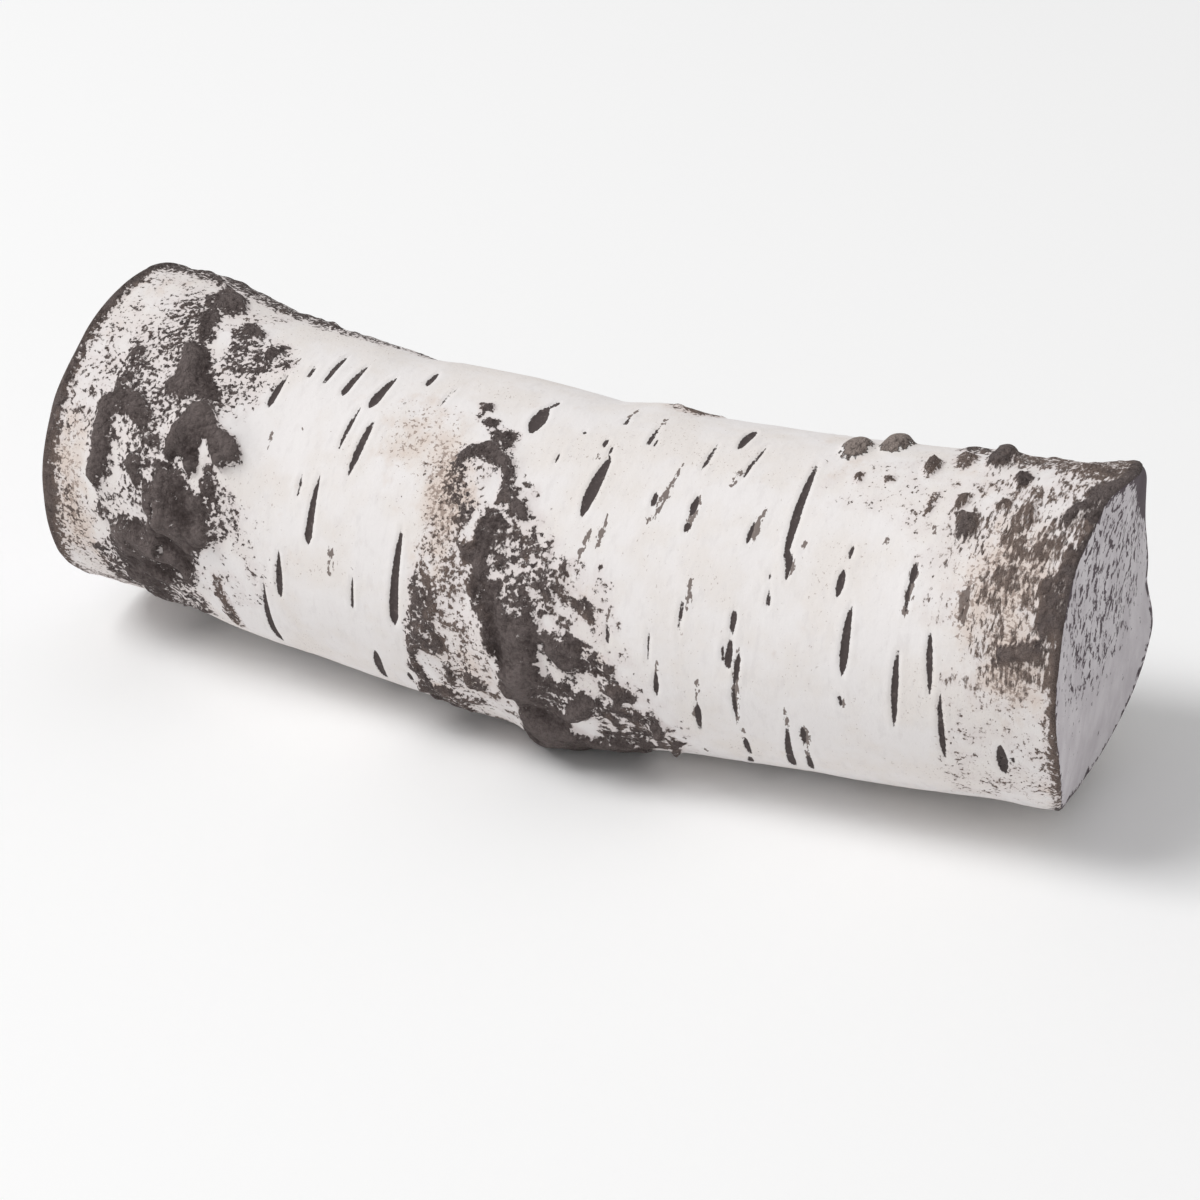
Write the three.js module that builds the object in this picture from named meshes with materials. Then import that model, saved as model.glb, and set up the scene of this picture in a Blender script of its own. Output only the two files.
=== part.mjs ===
// A birch log about 250 mm long and 80 mm thick, sawn off at both ends and lying on its side.
//
// Lengths are millimetres, +Z is up, and the log lies along X on the flat at Z = 0.
// A place on the bark is given as x along the log and an angle round it in degrees:
// 0 is the back, 90 the top, 180 the front and 270 the underside.

import * as THREE from 'three';

// The trunk
const RADIUS = 39.2;
const RIGHT_CUT = 124.6;
const LEFT_CUT = -126.5;
const BOW_REACH = 125;
const BOW_BACK = 7;
const BOW_UP = 6.5;
const MIDDLE_HEIGHT = 38.4;
const BARK_WAVE = 0.5;
const BARK_WAVE_SIZE = 11;

// The crust: dark, rough bark that stands a little above the smooth white bark
const CRUST_HEIGHT = 1.4;
const CRUST_GRAIN = 4.2;
const CRUST_BREAKUP = 6;

// Lenticels: short breathing slots that run round the trunk, sunk into the bark
const SLOT_DEPTH = 0.55;
const SLOT_ROW = 2.6;
const HIDDEN_SLOTS = 34;

// The saw cuts
const RIM_WEAR = 0.9;
const RIM_BAND = 2.4;
const RIM_REACH = 10;
const FACE_ROUGHNESS = 0.5;

// How far apart the points of the bark's net lie
const FINE_STEP = 2.9;
const RIM_POINTS = 80;
const FACE_STEP = 6.5;
const NUDGE = 0.02;
const SEED = 20;

const BARK_COLOUR = '#ddd9d7';
const BARK_ROUGHNESS = 0.9;

const TURN = 2 * Math.PI * RADIUS;
const DEGREE = Math.PI / 180;
const ARC_PER_DEGREE = RADIUS * DEGREE;

// Broad swellings and hollows of the trunk: [x, angle, spread along, spread round, height]
const SWELLINGS = [
  [-110, 62, 22, 26, 3.2],
  [-48, 62, 6, 20, -0.8],
  [-20, 62, 16, 18, 1.0],
  [2, 62, 3.5, 12, -0.4],
  [15, 62, 7, 12, 1.3],
  [93, 62, 4, 6, 0.8],
  [111, 62, 13, 14, -1.0],
  [-103, 236, 24, 28, -2.4],
  [-60, 236, 14, 20, -1.0],
  [2, 236, 7, 15, 2.6],
  [-15, 236, 10, 14, 1.0],
  [10, 236, 17, 18, 1.9],
  [60, 236, 30, 20, -0.8],
  [121, 243, 10, 16, 1.2],
  [112, 145, 26, 24, 2.4],
  [114, 333, 26, 22, 2.8],
  [55, 335, 22, 20, 1.6],
  [-30, 5, 18, 18, 1.2],
];

// Burls and knots, with a flatter top and steeper sides: [x, angle, spread along, spread round, height]
const BURLS = [
  [-91, 150, 19, 19, 2.4],
  [-83, 139, 9.5, 6, 1.5],
  [-87, 166, 8.5, 10, 1.0],
  [-111, 155, 4.5, 12, 0.8],
  [-14, 120, 8, 5, 0.9],
  [-2, 180, 9, 15, 1.3],
  [15, 201, 6, 6, 1.2],
  [64.5, 83, 3.2, 5, 2.1],
  [71.5, 72, 3.2, 7, 2.4],
  [97, 80, 3, 7, 1.3],
  [83.5, 91, 1.8, 3.5, 0.8],
  [105, 95, 2, 4, 0.8],
  [54, 333, 5, 5, 2.0],
  [-28, 8, 6, 6, 1.8],
];

// Patches of crust, and with a minus the bare islands in them: [x, angle, spread along, round, strength]
const CRUST = [
  // Left end, front
  [-100, 85, 10, 10, 1.0],
  [-97, 100, 6, 9, 0.9],
  [-92, 117, 7, 9, 1.1],
  [-86, 97, 7, 5, 0.9],
  [-78, 103, 4, 5, 0.9],
  [-84, 112, 4, 8, 0.6],
  [-105, 120, 7, 9, 0.6],
  [-107, 137, 6, 7, 0.9],
  [-111, 156, 5, 14, 1.1],
  [-83, 139, 9, 6, 1.2],
  [-77, 145, 5, 5, 1.1],
  [-87, 165, 8, 11, 1.2],
  [-97, 172, 7, 7, 0.8],
  [-105, 187, 8, 8, 1.1],
  [-93, 190, 9, 7, 1.1],
  [-101, 206, 8, 12, 1.2],
  [-104, 224, 6, 14, 1.1],
  [-92, 105, 3.5, 4, -1.0],
  [-94, 139, 3.5, 6, -0.9],
  [-104, 163, 4, 8, -0.7],
  // Left end, underside and back
  [-103, 242, 8, 12, 1.1],
  [-98, 264, 9, 10, 0.9],
  [-104, 290, 8, 12, 1.0],
  [-97, 316, 9, 11, 1.0],
  [-107, 343, 7, 11, 0.9],
  [-95, 10, 10, 11, 1.0],
  [-85, 62, 30, 7, 0.9],
  // Middle, front
  [-18, 106, 3, 3, 1.0],
  [-13, 110, 4, 3, 0.8],
  [-16, 119, 7, 4, 1.1],
  [-7, 129, 4, 6, 1.0],
  [-10, 147, 4, 8, 1.0],
  [-8, 159, 6, 6, 1.1],
  [-3, 171, 8, 9, 1.3],
  [2, 186, 7, 9, 1.3],
  [1, 202, 7, 9, 1.2],
  [12, 181, 7, 6, 1.1],
  [15, 160, 5, 4, 0.8],
  [22, 184, 5, 5, 0.9],
  [16, 201, 5, 7, 1.1],
  [28, 195, 4, 5, 0.9],
  [34, 209, 3.5, 6, 1.0],
  [7, 216, 9, 9, 1.2],
  [22, 221, 6, 8, 1.1],
  [-22, 177, 4, 11, 1.0],
  [-25, 204, 3, 13, 1.0],
  [-16, 216, 6, 6, 0.9],
  [14, 215, 3, 6, -0.8],
  // Middle, underside
  [5, 238, 10, 9, 1.1],
  [-8, 252, 12, 6, 0.8],
  [10, 264, 8, 8, 0.8],
  [16, 285, 6, 8, 0.7],
  // Right end, front
  [97, 81, 3, 7, 1.1],
  [104, 78, 5, 5, 0.8],
  [115, 78, 7, 7, 0.9],
  [125, 95, 4, 12, 1.2],
  [103, 109, 3, 3, 0.9],
  [97, 118, 3, 4, 0.9],
  [109, 119, 2.5, 8, 0.9],
  [118, 124, 4, 5, 0.9],
  [118, 139, 4, 4, 0.8],
  [115, 159, 5, 3, 0.7],
  // Right end and middle, back
  [112, 40, 8, 10, 0.9],
  [118, 8, 7, 12, 0.9],
  [111, 338, 7, 9, 0.8],
  [54, 333, 9, 9, 1.1],
  [62, 348, 6, 6, 0.9],
  [45, 320, 6, 6, 0.8],
  [-28, 8, 8, 12, 1.1],
  [-23, 346, 6, 8, 0.9],
  [-37, 28, 5, 8, 0.8],
];

// Lenticels at the front: [x and angle of the upper tip, x and angle of the lower tip, width]
const SLOTS = [
  [-71.5, 107, -72.3, 123, 1.5],
  [-66.6, 99, -66.6, 108, 1.0],
  [-61.7, 89, -62.2, 110, 1.3],
  [-55.4, 92, -56.3, 110, 1.6],
  [-47.0, 94, -48.2, 112, 2.2],
  [-50.3, 113, -51.0, 131, 1.1],
  [-45.4, 116, -46.5, 139, 1.7],
  [-53.5, 142, -53.6, 165, 1.8],
  [-61.0, 170, -61.2, 189, 1.6],
  [-65.6, 185, -66.5, 216, 1.8],
  [-41.3, 172, -41.4, 185, 1.0],
  [-39.2, 84, -39.0, 95, 1.3],
  [-7.5, 87, -8.3, 106, 3.4],
  [-30.1, 150, -30.5, 186, 2.2],
  [-37.2, 202, -38.3, 222, 2.0],
  [12.9, 108, 11.6, 134, 2.7],
  [18.9, 85, 19.3, 101, 1.0],
  [14.4, 137, 13.6, 150, 1.1],
  [17.8, 131, 17.2, 144, 1.2],
  [26.8, 119, 26.9, 128, 1.2],
  [29.4, 115, 28.5, 130, 1.3],
  [34.5, 93, 34.5, 110, 0.9],
  [39.5, 79, 39.6, 96, 1.9],
  [45.5, 90, 44.1, 111, 1.0],
  [36.4, 118, 36.6, 133, 1.6],
  [51.6, 121, 50.9, 134, 1.4],
  [58.7, 96, 60.4, 138, 1.9],
  [61.3, 134, 61.8, 144, 1.4],
  [40.8, 149, 39.6, 169, 1.0],
  [51.9, 155, 51.9, 176, 1.5],
  [54.2, 168, 53.5, 196, 1.3],
  [22.6, 161, 23.1, 175, 1.0],
  [35.0, 178, 34.9, 191, 1.2],
  [44.7, 184, 44.2, 206, 1.5],
  [54.9, 205, 54.3, 220, 1.4],
  [65.5, 188, 64.0, 224, 1.8],
  [69.4, 194, 68.3, 225, 1.6],
  [74.5, 129, 74.0, 147, 1.6],
  [77.6, 148, 78.0, 172, 1.9],
  [89.7, 160, 90.2, 189, 1.6],
  [89.6, 132, 89.8, 149, 1.5],
  [96.2, 154, 98.0, 175, 1.5],
  [100.1, 173, 101.2, 201, 1.4],
  [113.5, 191, 114.2, 206, 2.4],
];

// How far each saw cut stands out beyond its plane, round the rim: [angle, distance]
const RIGHT_RIM = [
  [15, -2.6],
  [50, -0.8],
  [86, 3.4],
  [108, 0.3],
  [135, -0.8],
  [165, 0.2],
  [203, 1.7],
  [258, -2.4],
  [334, 1.7],
  [352, -1.4],
];
const LEFT_RIM = [
  [0, 1.2],
  [50, 2.2],
  [82, 2.2],
  [121, 0.9],
  [150, -1.0],
  [180, -2.0],
  [212, -2.9],
  [290, -1.0],
];

// Draws that are the same on every run, each from 0 to 1
function makeDraw(seed) {
  let state = seed;
  return () => {
    state = (state * 16807) % 2147483647;
    return state / 2147483647;
  };
}

const smooth = (t) => t * t * (3 - 2 * t);
const step = (low, high, value) => smooth(Math.min(1, Math.max(0, (value - low) / (high - low))));
const mix = (a, b, t) => a + (b - a) * t;
const wrap = (angle) => ((angle % 360) + 540) % 360 - 180;

// Value noise from 0 to 1: a fixed number at each whole-number point, eased between them
function cornerValue(i, j, k) {
  const s = Math.sin(i * 127.1 + j * 311.7 + k * 74.7) * 43758.5453;
  return s - Math.floor(s);
}

function noise(x, y, z) {
  const [i, j, k] = [Math.floor(x), Math.floor(y), Math.floor(z)];
  const [u, v, w] = [smooth(x - i), smooth(y - j), smooth(z - k)];
  const row = (dj, dk) => mix(cornerValue(i, j + dj, k + dk), cornerValue(i + 1, j + dj, k + dk), u);
  return mix(mix(row(0, 0), row(1, 0), v), mix(row(0, 1), row(1, 1), v), w);
}

// Noise on the trunk, with grains of the given size in mm
function barkNoise(x, angle, size) {
  const y = RADIUS * Math.cos(angle * DEGREE);
  const z = RADIUS * Math.sin(angle * DEGREE);
  return noise(x / size, y / size, z / size);
}

// Squared distance from a place to a patch, in units of the patch's spread
function spread(x, angle, [patchX, patchAngle, along, round]) {
  const dx = (x - patchX) / along;
  const ds = (wrap(angle - patchAngle) * ARC_PER_DEGREE) / round;
  return dx * dx + ds * ds;
}

// Smooth curve round the log through the points of a table of [angle, value]
function around(table, angle) {
  const a = ((angle % 360) + 360) % 360;
  let next = table.findIndex((row) => row[0] > a);
  if (next < 0) next = 0;
  const from = table[(next + table.length - 1) % table.length];
  const to = table[next];
  const gap = (to[0] - from[0] + 360) % 360;
  const t = ((a - from[0] + 360) % 360) / gap;
  return mix(from[1], to[1], smooth(t));
}

// Share of crust at a place, from 0 on smooth bark to 1 on full crust
function crustAt(x, angle) {
  let cover = 0;
  for (const patch of CRUST) cover += patch[4] * Math.exp(-spread(x, angle, patch));
  const ragged = cover + 0.7 * (barkNoise(x, angle, CRUST_BREAKUP) - 0.5);
  return step(0.3, 0.62, ragged);
}

// Radius of the trunk with its swellings, burls and crust
function barkRadius(x, angle) {
  let radius = RADIUS + BARK_WAVE * (barkNoise(x, angle, BARK_WAVE_SIZE) - 0.5);
  for (const swelling of SWELLINGS) radius += swelling[4] * Math.exp(-spread(x, angle, swelling));
  for (const burl of BURLS) radius += burl[4] * Math.exp(-(spread(x, angle, burl) ** 2));
  const grain = barkNoise(x, angle, CRUST_GRAIN);
  return radius + CRUST_HEIGHT * crustAt(x, angle) * (0.35 + grain);
}

// Where a place on the bark lies, sunk below the bark's surface by depth
function barkPoint(x, angle, depth) {
  const left = LEFT_CUT + around(LEFT_RIM, angle);
  const right = RIGHT_CUT + around(RIGHT_RIM, angle);
  const towardsRight = step(RIGHT_CUT - RIM_REACH, RIGHT_CUT, x);
  const towardsLeft = step(LEFT_CUT + RIM_REACH, LEFT_CUT, x);
  const shifted = x + (right - RIGHT_CUT) * towardsRight + (left - LEFT_CUT) * towardsLeft;
  const bend = (x / BOW_REACH) ** 2;
  const radius = barkRadius(x, angle) - depth;
  const y = BOW_BACK * bend + radius * Math.cos(angle * DEGREE);
  const z = MIDDLE_HEIGHT + BOW_UP * bend + radius * Math.sin(angle * DEGREE);
  return new THREE.Vector3(shifted, y, Math.max(0, z));
}

// Delaunay triangles of flat points [u, v]: each new point replaces the triangles whose circle holds it
function triangulate(points) {
  const far = 1e5;
  const all = [...points, [-far, -far], [far, -far], [0, far]];
  const circle = (a, b, c) => {
    const [ax, ay] = all[a];
    const [bx, by] = [all[b][0] - ax, all[b][1] - ay];
    const [cx, cy] = [all[c][0] - ax, all[c][1] - ay];
    const d = 2 * (bx * cy - by * cx);
    const ux = (cy * (bx * bx + by * by) - by * (cx * cx + cy * cy)) / d;
    const uy = (bx * (cx * cx + cy * cy) - cx * (bx * bx + by * by)) / d;
    return { corners: [a, b, c], u: ax + ux, v: ay + uy, reach: ux * ux + uy * uy };
  };
  const n = points.length;
  let triangles = [circle(n, n + 1, n + 2)];
  for (let p = 0; p < n; p++) {
    const [u, v] = all[p];
    const hit = triangles.filter((t) => (u - t.u) ** 2 + (v - t.v) ** 2 < t.reach);
    const edges = new Map();
    for (const { corners } of hit) {
      for (let e = 0; e < 3; e++) {
        const [a, b] = [corners[e], corners[(e + 1) % 3]];
        if (!edges.delete(`${b},${a}`)) edges.set(`${a},${b}`, [a, b]);
      }
    }
    const gone = new Set(hit);
    triangles = triangles.filter((t) => !gone.has(t));
    for (const [a, b] of edges.values()) triangles.push(circle(a, b, p));
  }
  return triangles.map((t) => t.corners).filter((corners) => Math.max(...corners) < n);
}

// Lenticels on the side away from the front, by a rule
function hiddenSlots(draw) {
  const slots = [];
  while (slots.length < HIDDEN_SLOTS) {
    const x = mix(-92, 104, draw());
    const angle = mix(238, 398, draw());
    const length = mix(9, 30, draw());
    const width = mix(1.1, 2.1, draw());
    const clear = slots.every(([sx, sa]) => Math.abs(sx - x) > 5 || Math.abs(sa - angle) > 35);
    if (clear && crustAt(x, angle + length / 2) < 0.1) slots.push([x, angle, x, angle + length, width]);
  }
  return slots;
}

// Half the width of a lenticel, a part of the way from its upper tip to its lower one
const slotHalfWidth = (width, part) => (width / 2) * Math.sin(Math.PI * part ** 1.25) ** 0.7;

// Points of one lenticel: its two tips, and rows of a bank, the sunk middle and the other bank
function slotPoints([topX, topAngle, endX, endAngle, width]) {
  const rows = Math.max(3, Math.round(((endAngle - topAngle) * ARC_PER_DEGREE) / SLOT_ROW));
  const points = [];
  for (let row = 0; row <= rows; row++) {
    const part = row / rows;
    const x = mix(topX, endX, part);
    const angle = mix(topAngle, endAngle, part);
    const half = slotHalfWidth(width, part) + 0.15;
    const tip = row === 0 || row === rows;
    points.push([x, angle, tip ? 0 : SLOT_DEPTH]);
    if (!tip) points.push([x - half, angle, 0], [x + half, angle, 0]);
  }
  return points;
}

// The net of points over the bark, as [x, angle, depth]: rims first, then lenticels, then the bark between
function barkNet(draw) {
  const net = [];
  for (const end of [LEFT_CUT, RIGHT_CUT]) {
    for (let i = 0; i < RIM_POINTS; i++) net.push([end, (360 * i) / RIM_POINTS, RIM_WEAR]);
  }
  for (const [end, inward] of [[LEFT_CUT, RIM_BAND], [RIGHT_CUT, -RIM_BAND]]) {
    for (let i = 0; i < RIM_POINTS; i++) net.push([end + inward, (360 * (i + 0.5)) / RIM_POINTS, 0]);
  }
  const slots = [...SLOTS, ...hiddenSlots(draw)].flatMap(slotPoints);
  net.push(...slots);

  const rows = 2 * Math.round(TURN / (2 * FINE_STEP));
  const columnStep = FINE_STEP * Math.sqrt(0.75);
  const columns = Math.floor((RIGHT_CUT - LEFT_CUT - 2 * RIM_BAND) / columnStep);
  const roomLeft = RIGHT_CUT - LEFT_CUT - columns * columnStep;
  for (let column = 1; column < columns; column++) {
    for (let row = 0; row < rows; row++) {
      const half = column % 2 ? 0.5 : 0;
      const x = LEFT_CUT + roomLeft / 2 + column * columnStep + (draw() - 0.5) * FINE_STEP * 0.4;
      const angle = (360 * (row + half + (draw() - 0.5) * 0.4)) / rows;
      const coarse = column % 2 === 0 && (row + column / 2) % 2 === 0;
      const onFlat = Math.abs(wrap(angle - 270)) < 11 && Math.abs(x) < 45;
      const fine = crustAt(x, angle) > 0.05 && !onFlat;
      const near = slots.some((s) => {
        const ds = wrap(angle - s[1]) * ARC_PER_DEGREE;
        return Math.hypot(x - s[0], ds) < 1.5;
      });
      if ((coarse || fine) && !near) net.push([x, angle, 0]);
    }
  }
  return net;
}

// Triangles over the bark. The net is laid flat, with a strip of itself repeated past each edge of the turn
// and the row behind each rim mirrored past it. Only the triangles of one turn, between the rims, are kept.
function barkTriangles(net) {
  const overlap = 40;
  const flat = [];
  const source = [];
  const lay = (x, angle, index) => {
    if (angle < -overlap || angle > 360 + overlap) return;
    flat.push([x, angle * ARC_PER_DEGREE]);
    source.push(index);
  };
  for (const shift of [0, -360, 360]) {
    net.forEach(([x, angle], index) => {
      const onRim = index < 2 * RIM_POINTS;
      const nudge = onRim ? 0 : NUDGE * cornerValue(index, 0, 0);
      lay(x + nudge, angle + shift + NUDGE * cornerValue(index, 1, 0), index);
    });
    for (let index = 2 * RIM_POINTS; index < 4 * RIM_POINTS; index++) {
      const [x, angle] = net[index];
      const rim = x < 0 ? LEFT_CUT : RIGHT_CUT;
      lay(2 * rim - x, angle + shift + NUDGE * cornerValue(index, 2, 0), index);
    }
  }
  const kept = (corners) => {
    const x = corners.reduce((sum, c) => sum + flat[c][0], 0) / 3;
    const arc = corners.reduce((sum, c) => sum + flat[c][1], 0) / 3;
    return x > LEFT_CUT && x < RIGHT_CUT && arc >= 0 && arc < TURN;
  };
  return triangulate(flat).filter(kept).map(([a, b, c]) => [source[a], source[c], source[b]]);
}

// One saw cut: points on a disc inside the rim, and its triangles, as [points, triangles]
function faceNet(rim, draw) {
  const flat = rim.map((_, i) => {
    const angle = (360 * DEGREE * i) / rim.length;
    const reach = RADIUS + NUDGE * cornerValue(i, 0, 0);
    return [reach * Math.cos(angle), reach * Math.sin(angle)];
  });
  const middle = rim.reduce((sum, p) => sum.add(p), new THREE.Vector3()).divideScalar(rim.length);
  const points = [];
  const reach = Math.ceil(RADIUS / FACE_STEP) + 1;
  for (let i = -reach; i <= reach; i++) {
    for (let j = -reach; j <= reach; j++) {
      const u = (i + j / 2 + (draw() - 0.5) * 0.3) * FACE_STEP;
      const v = (j * Math.sqrt(0.75) + (draw() - 0.5) * 0.3) * FACE_STEP;
      const ratio = Math.hypot(u, v) / RADIUS;
      if (ratio > 0.93) continue;
      const angle = (Math.atan2(v, u) / DEGREE + 360) % 360;
      const place = (angle / 360) * rim.length;
      const before = rim[Math.floor(place) % rim.length];
      const after = rim[Math.ceil(place) % rim.length];
      const edge = before.clone().lerp(after, place - Math.floor(place));
      const point = middle.clone().lerp(edge, ratio);
      point.x = mix(middle.x, edge.x, ratio ** 3) + (noise(u / 7, v / 7, middle.x) - 0.5) * FACE_ROUGHNESS;
      points.push(point);
      flat.push([u, v]);
    }
  }
  return [points, triangulate(flat)];
}

function makeLog() {
  const draw = makeDraw(SEED);
  const net = barkNet(draw);
  const points = net.map(([x, angle, depth]) => barkPoint(x, angle, depth));
  const triangles = barkTriangles(net);
  for (const [first, outward] of [[0, -1], [RIM_POINTS, 1]]) {
    const rim = points.slice(first, first + RIM_POINTS);
    const [inner, faceTriangles] = faceNet(rim, draw);
    const start = points.length;
    points.push(...inner);
    const place = (c) => (c < RIM_POINTS ? first + c : start + c - RIM_POINTS);
    for (const [a, b, c] of faceTriangles) {
      const corners = [place(a), place(b), place(c)];
      triangles.push(outward > 0 ? corners : corners.reverse());
    }
  }
  const geometry = new THREE.BufferGeometry();
  geometry.setAttribute('position', new THREE.Float32BufferAttribute(points.flatMap((p) => p.toArray()), 3));
  geometry.setIndex(triangles.flat());
  geometry.computeBoundingBox();
  const centre = geometry.boundingBox.getCenter(new THREE.Vector3());
  geometry.translate(-centre.x, -centre.y, 0);
  geometry.computeVertexNormals();
  return geometry;
}

const bark = new THREE.MeshStandardMaterial({
  color: BARK_COLOUR,
  roughness: BARK_ROUGHNESS,
  metalness: 0,
  flatShading: true,
});
const log = new THREE.Mesh(makeLog(), bark);
log.name = 'log';

const group = new THREE.Group();
group.add(log);

export default group;
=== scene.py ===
"""A birch log about 255 mm long and 80 mm thick, sawn off at both ends, lying on a pale floor.

The log is one closed surface, worked out with numpy. A place on its bark is given by x along the log,
in mm, and an angle round it in degrees: 0 is the back, 90 the top, 180 the front and 270 the underside.
"""

import bpy
import numpy as np
from mathutils import Matrix, Vector


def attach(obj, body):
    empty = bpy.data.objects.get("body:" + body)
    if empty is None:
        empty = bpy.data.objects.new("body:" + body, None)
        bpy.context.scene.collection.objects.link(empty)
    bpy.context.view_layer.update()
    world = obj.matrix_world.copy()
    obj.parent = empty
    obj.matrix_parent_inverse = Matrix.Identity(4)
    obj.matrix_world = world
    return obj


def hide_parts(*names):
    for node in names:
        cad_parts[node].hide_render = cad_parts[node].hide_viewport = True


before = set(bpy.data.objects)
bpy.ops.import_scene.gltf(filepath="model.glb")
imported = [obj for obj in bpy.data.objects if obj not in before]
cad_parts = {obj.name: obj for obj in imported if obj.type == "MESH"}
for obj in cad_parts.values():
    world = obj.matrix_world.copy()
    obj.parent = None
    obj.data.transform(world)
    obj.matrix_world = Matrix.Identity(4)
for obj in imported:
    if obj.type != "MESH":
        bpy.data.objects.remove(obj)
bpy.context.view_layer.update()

bl_info = {
    "name": "Birch log",
    "version": (1, 0, 0),
    "blender": (4, 5, 0),
    "location": "View3D > Sidebar > Birch log",
    "description": "Makes a sawn birch log with its bark, and a plain stage for it",
    "category": "Object",
}

MM = 0.001
DEGREE = np.pi / 180

# The trunk, in mm, as in the part's solid
RIGHT_CUT = 124.6
LEFT_CUT = -126.5
BOW_REACH = 125.0
BOW_BACK = 7.0
BOW_UP = 6.5
MIDDLE_HEIGHT = 38.4
RIM_BAND = 2.4
RIM_REACH = 10.0
# The log's box: its middle, seen from the middle of the bend, its half width and its height
BOX_MIDDLE_Y = 3.22
BOX_HALF_WIDTH = 45.4
BOX_HEIGHT = 85.4

# Broad swellings and hollows of the trunk: x, angle, spread along, spread round, height
SWELLINGS = (
    (-110, 62, 22, 26, 3.2),
    (-48, 62, 6, 20, -0.8),
    (-20, 62, 16, 18, 1.0),
    (2, 62, 3.5, 12, -0.4),
    (15, 62, 7, 12, 1.3),
    (93, 62, 4, 6, 0.8),
    (111, 62, 13, 14, -1.0),
    (-103, 236, 24, 28, -2.4),
    (-60, 236, 14, 20, -1.0),
    (2, 236, 7, 15, 2.6),
    (-15, 236, 10, 14, 1.0),
    (10, 236, 17, 18, 1.9),
    (60, 236, 30, 20, -0.8),
    (121, 243, 10, 16, 1.2),
    (112, 145, 26, 24, 2.4),
    (114, 333, 26, 22, 2.8),
    (55, 335, 22, 20, 1.6),
    (-30, 5, 18, 18, 1.2),
)

# Burls and knots, with a flatter top and steeper sides: x, angle, spread along, spread round, height
BURLS = (
    (-91, 150, 19, 19, 2.4),
    (-83, 139, 9.5, 6, 1.5),
    (-87, 166, 8.5, 10, 1.0),
    (-111, 155, 4.5, 12, 0.8),
    (-14, 120, 8, 5, 0.9),
    (-2, 180, 9, 15, 1.3),
    (15, 201, 6, 6, 1.2),
    (64.5, 83, 3.2, 5, 2.1),
    (71.3, 72, 2.7, 7, 2.4),
    (97, 80, 3, 7, 0.7),
    (83.5, 91, 1.8, 3.5, 0.8),
    (105, 95, 2, 4, 0.8),
    (54, 333, 5, 5, 2.0),
    (-28, 8, 6, 6, 1.8),
)

# How far each saw cut stands out beyond its plane, round the rim: angle, mm
RIGHT_RIM = (
    (15, -2.6), (50, -0.8), (86, 3.4), (108, 0.3), (135, -0.8), (165, 0.2), (203, 1.7), (258, -2.4),
    (334, 1.7), (352, -1.4),
)
LEFT_RIM = (
    (0, 1.2), (50, 2.2), (82, 2.2), (121, 0.9), (150, -1.0), (180, -2.0), (212, -2.9), (290, -1.0),
)

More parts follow.
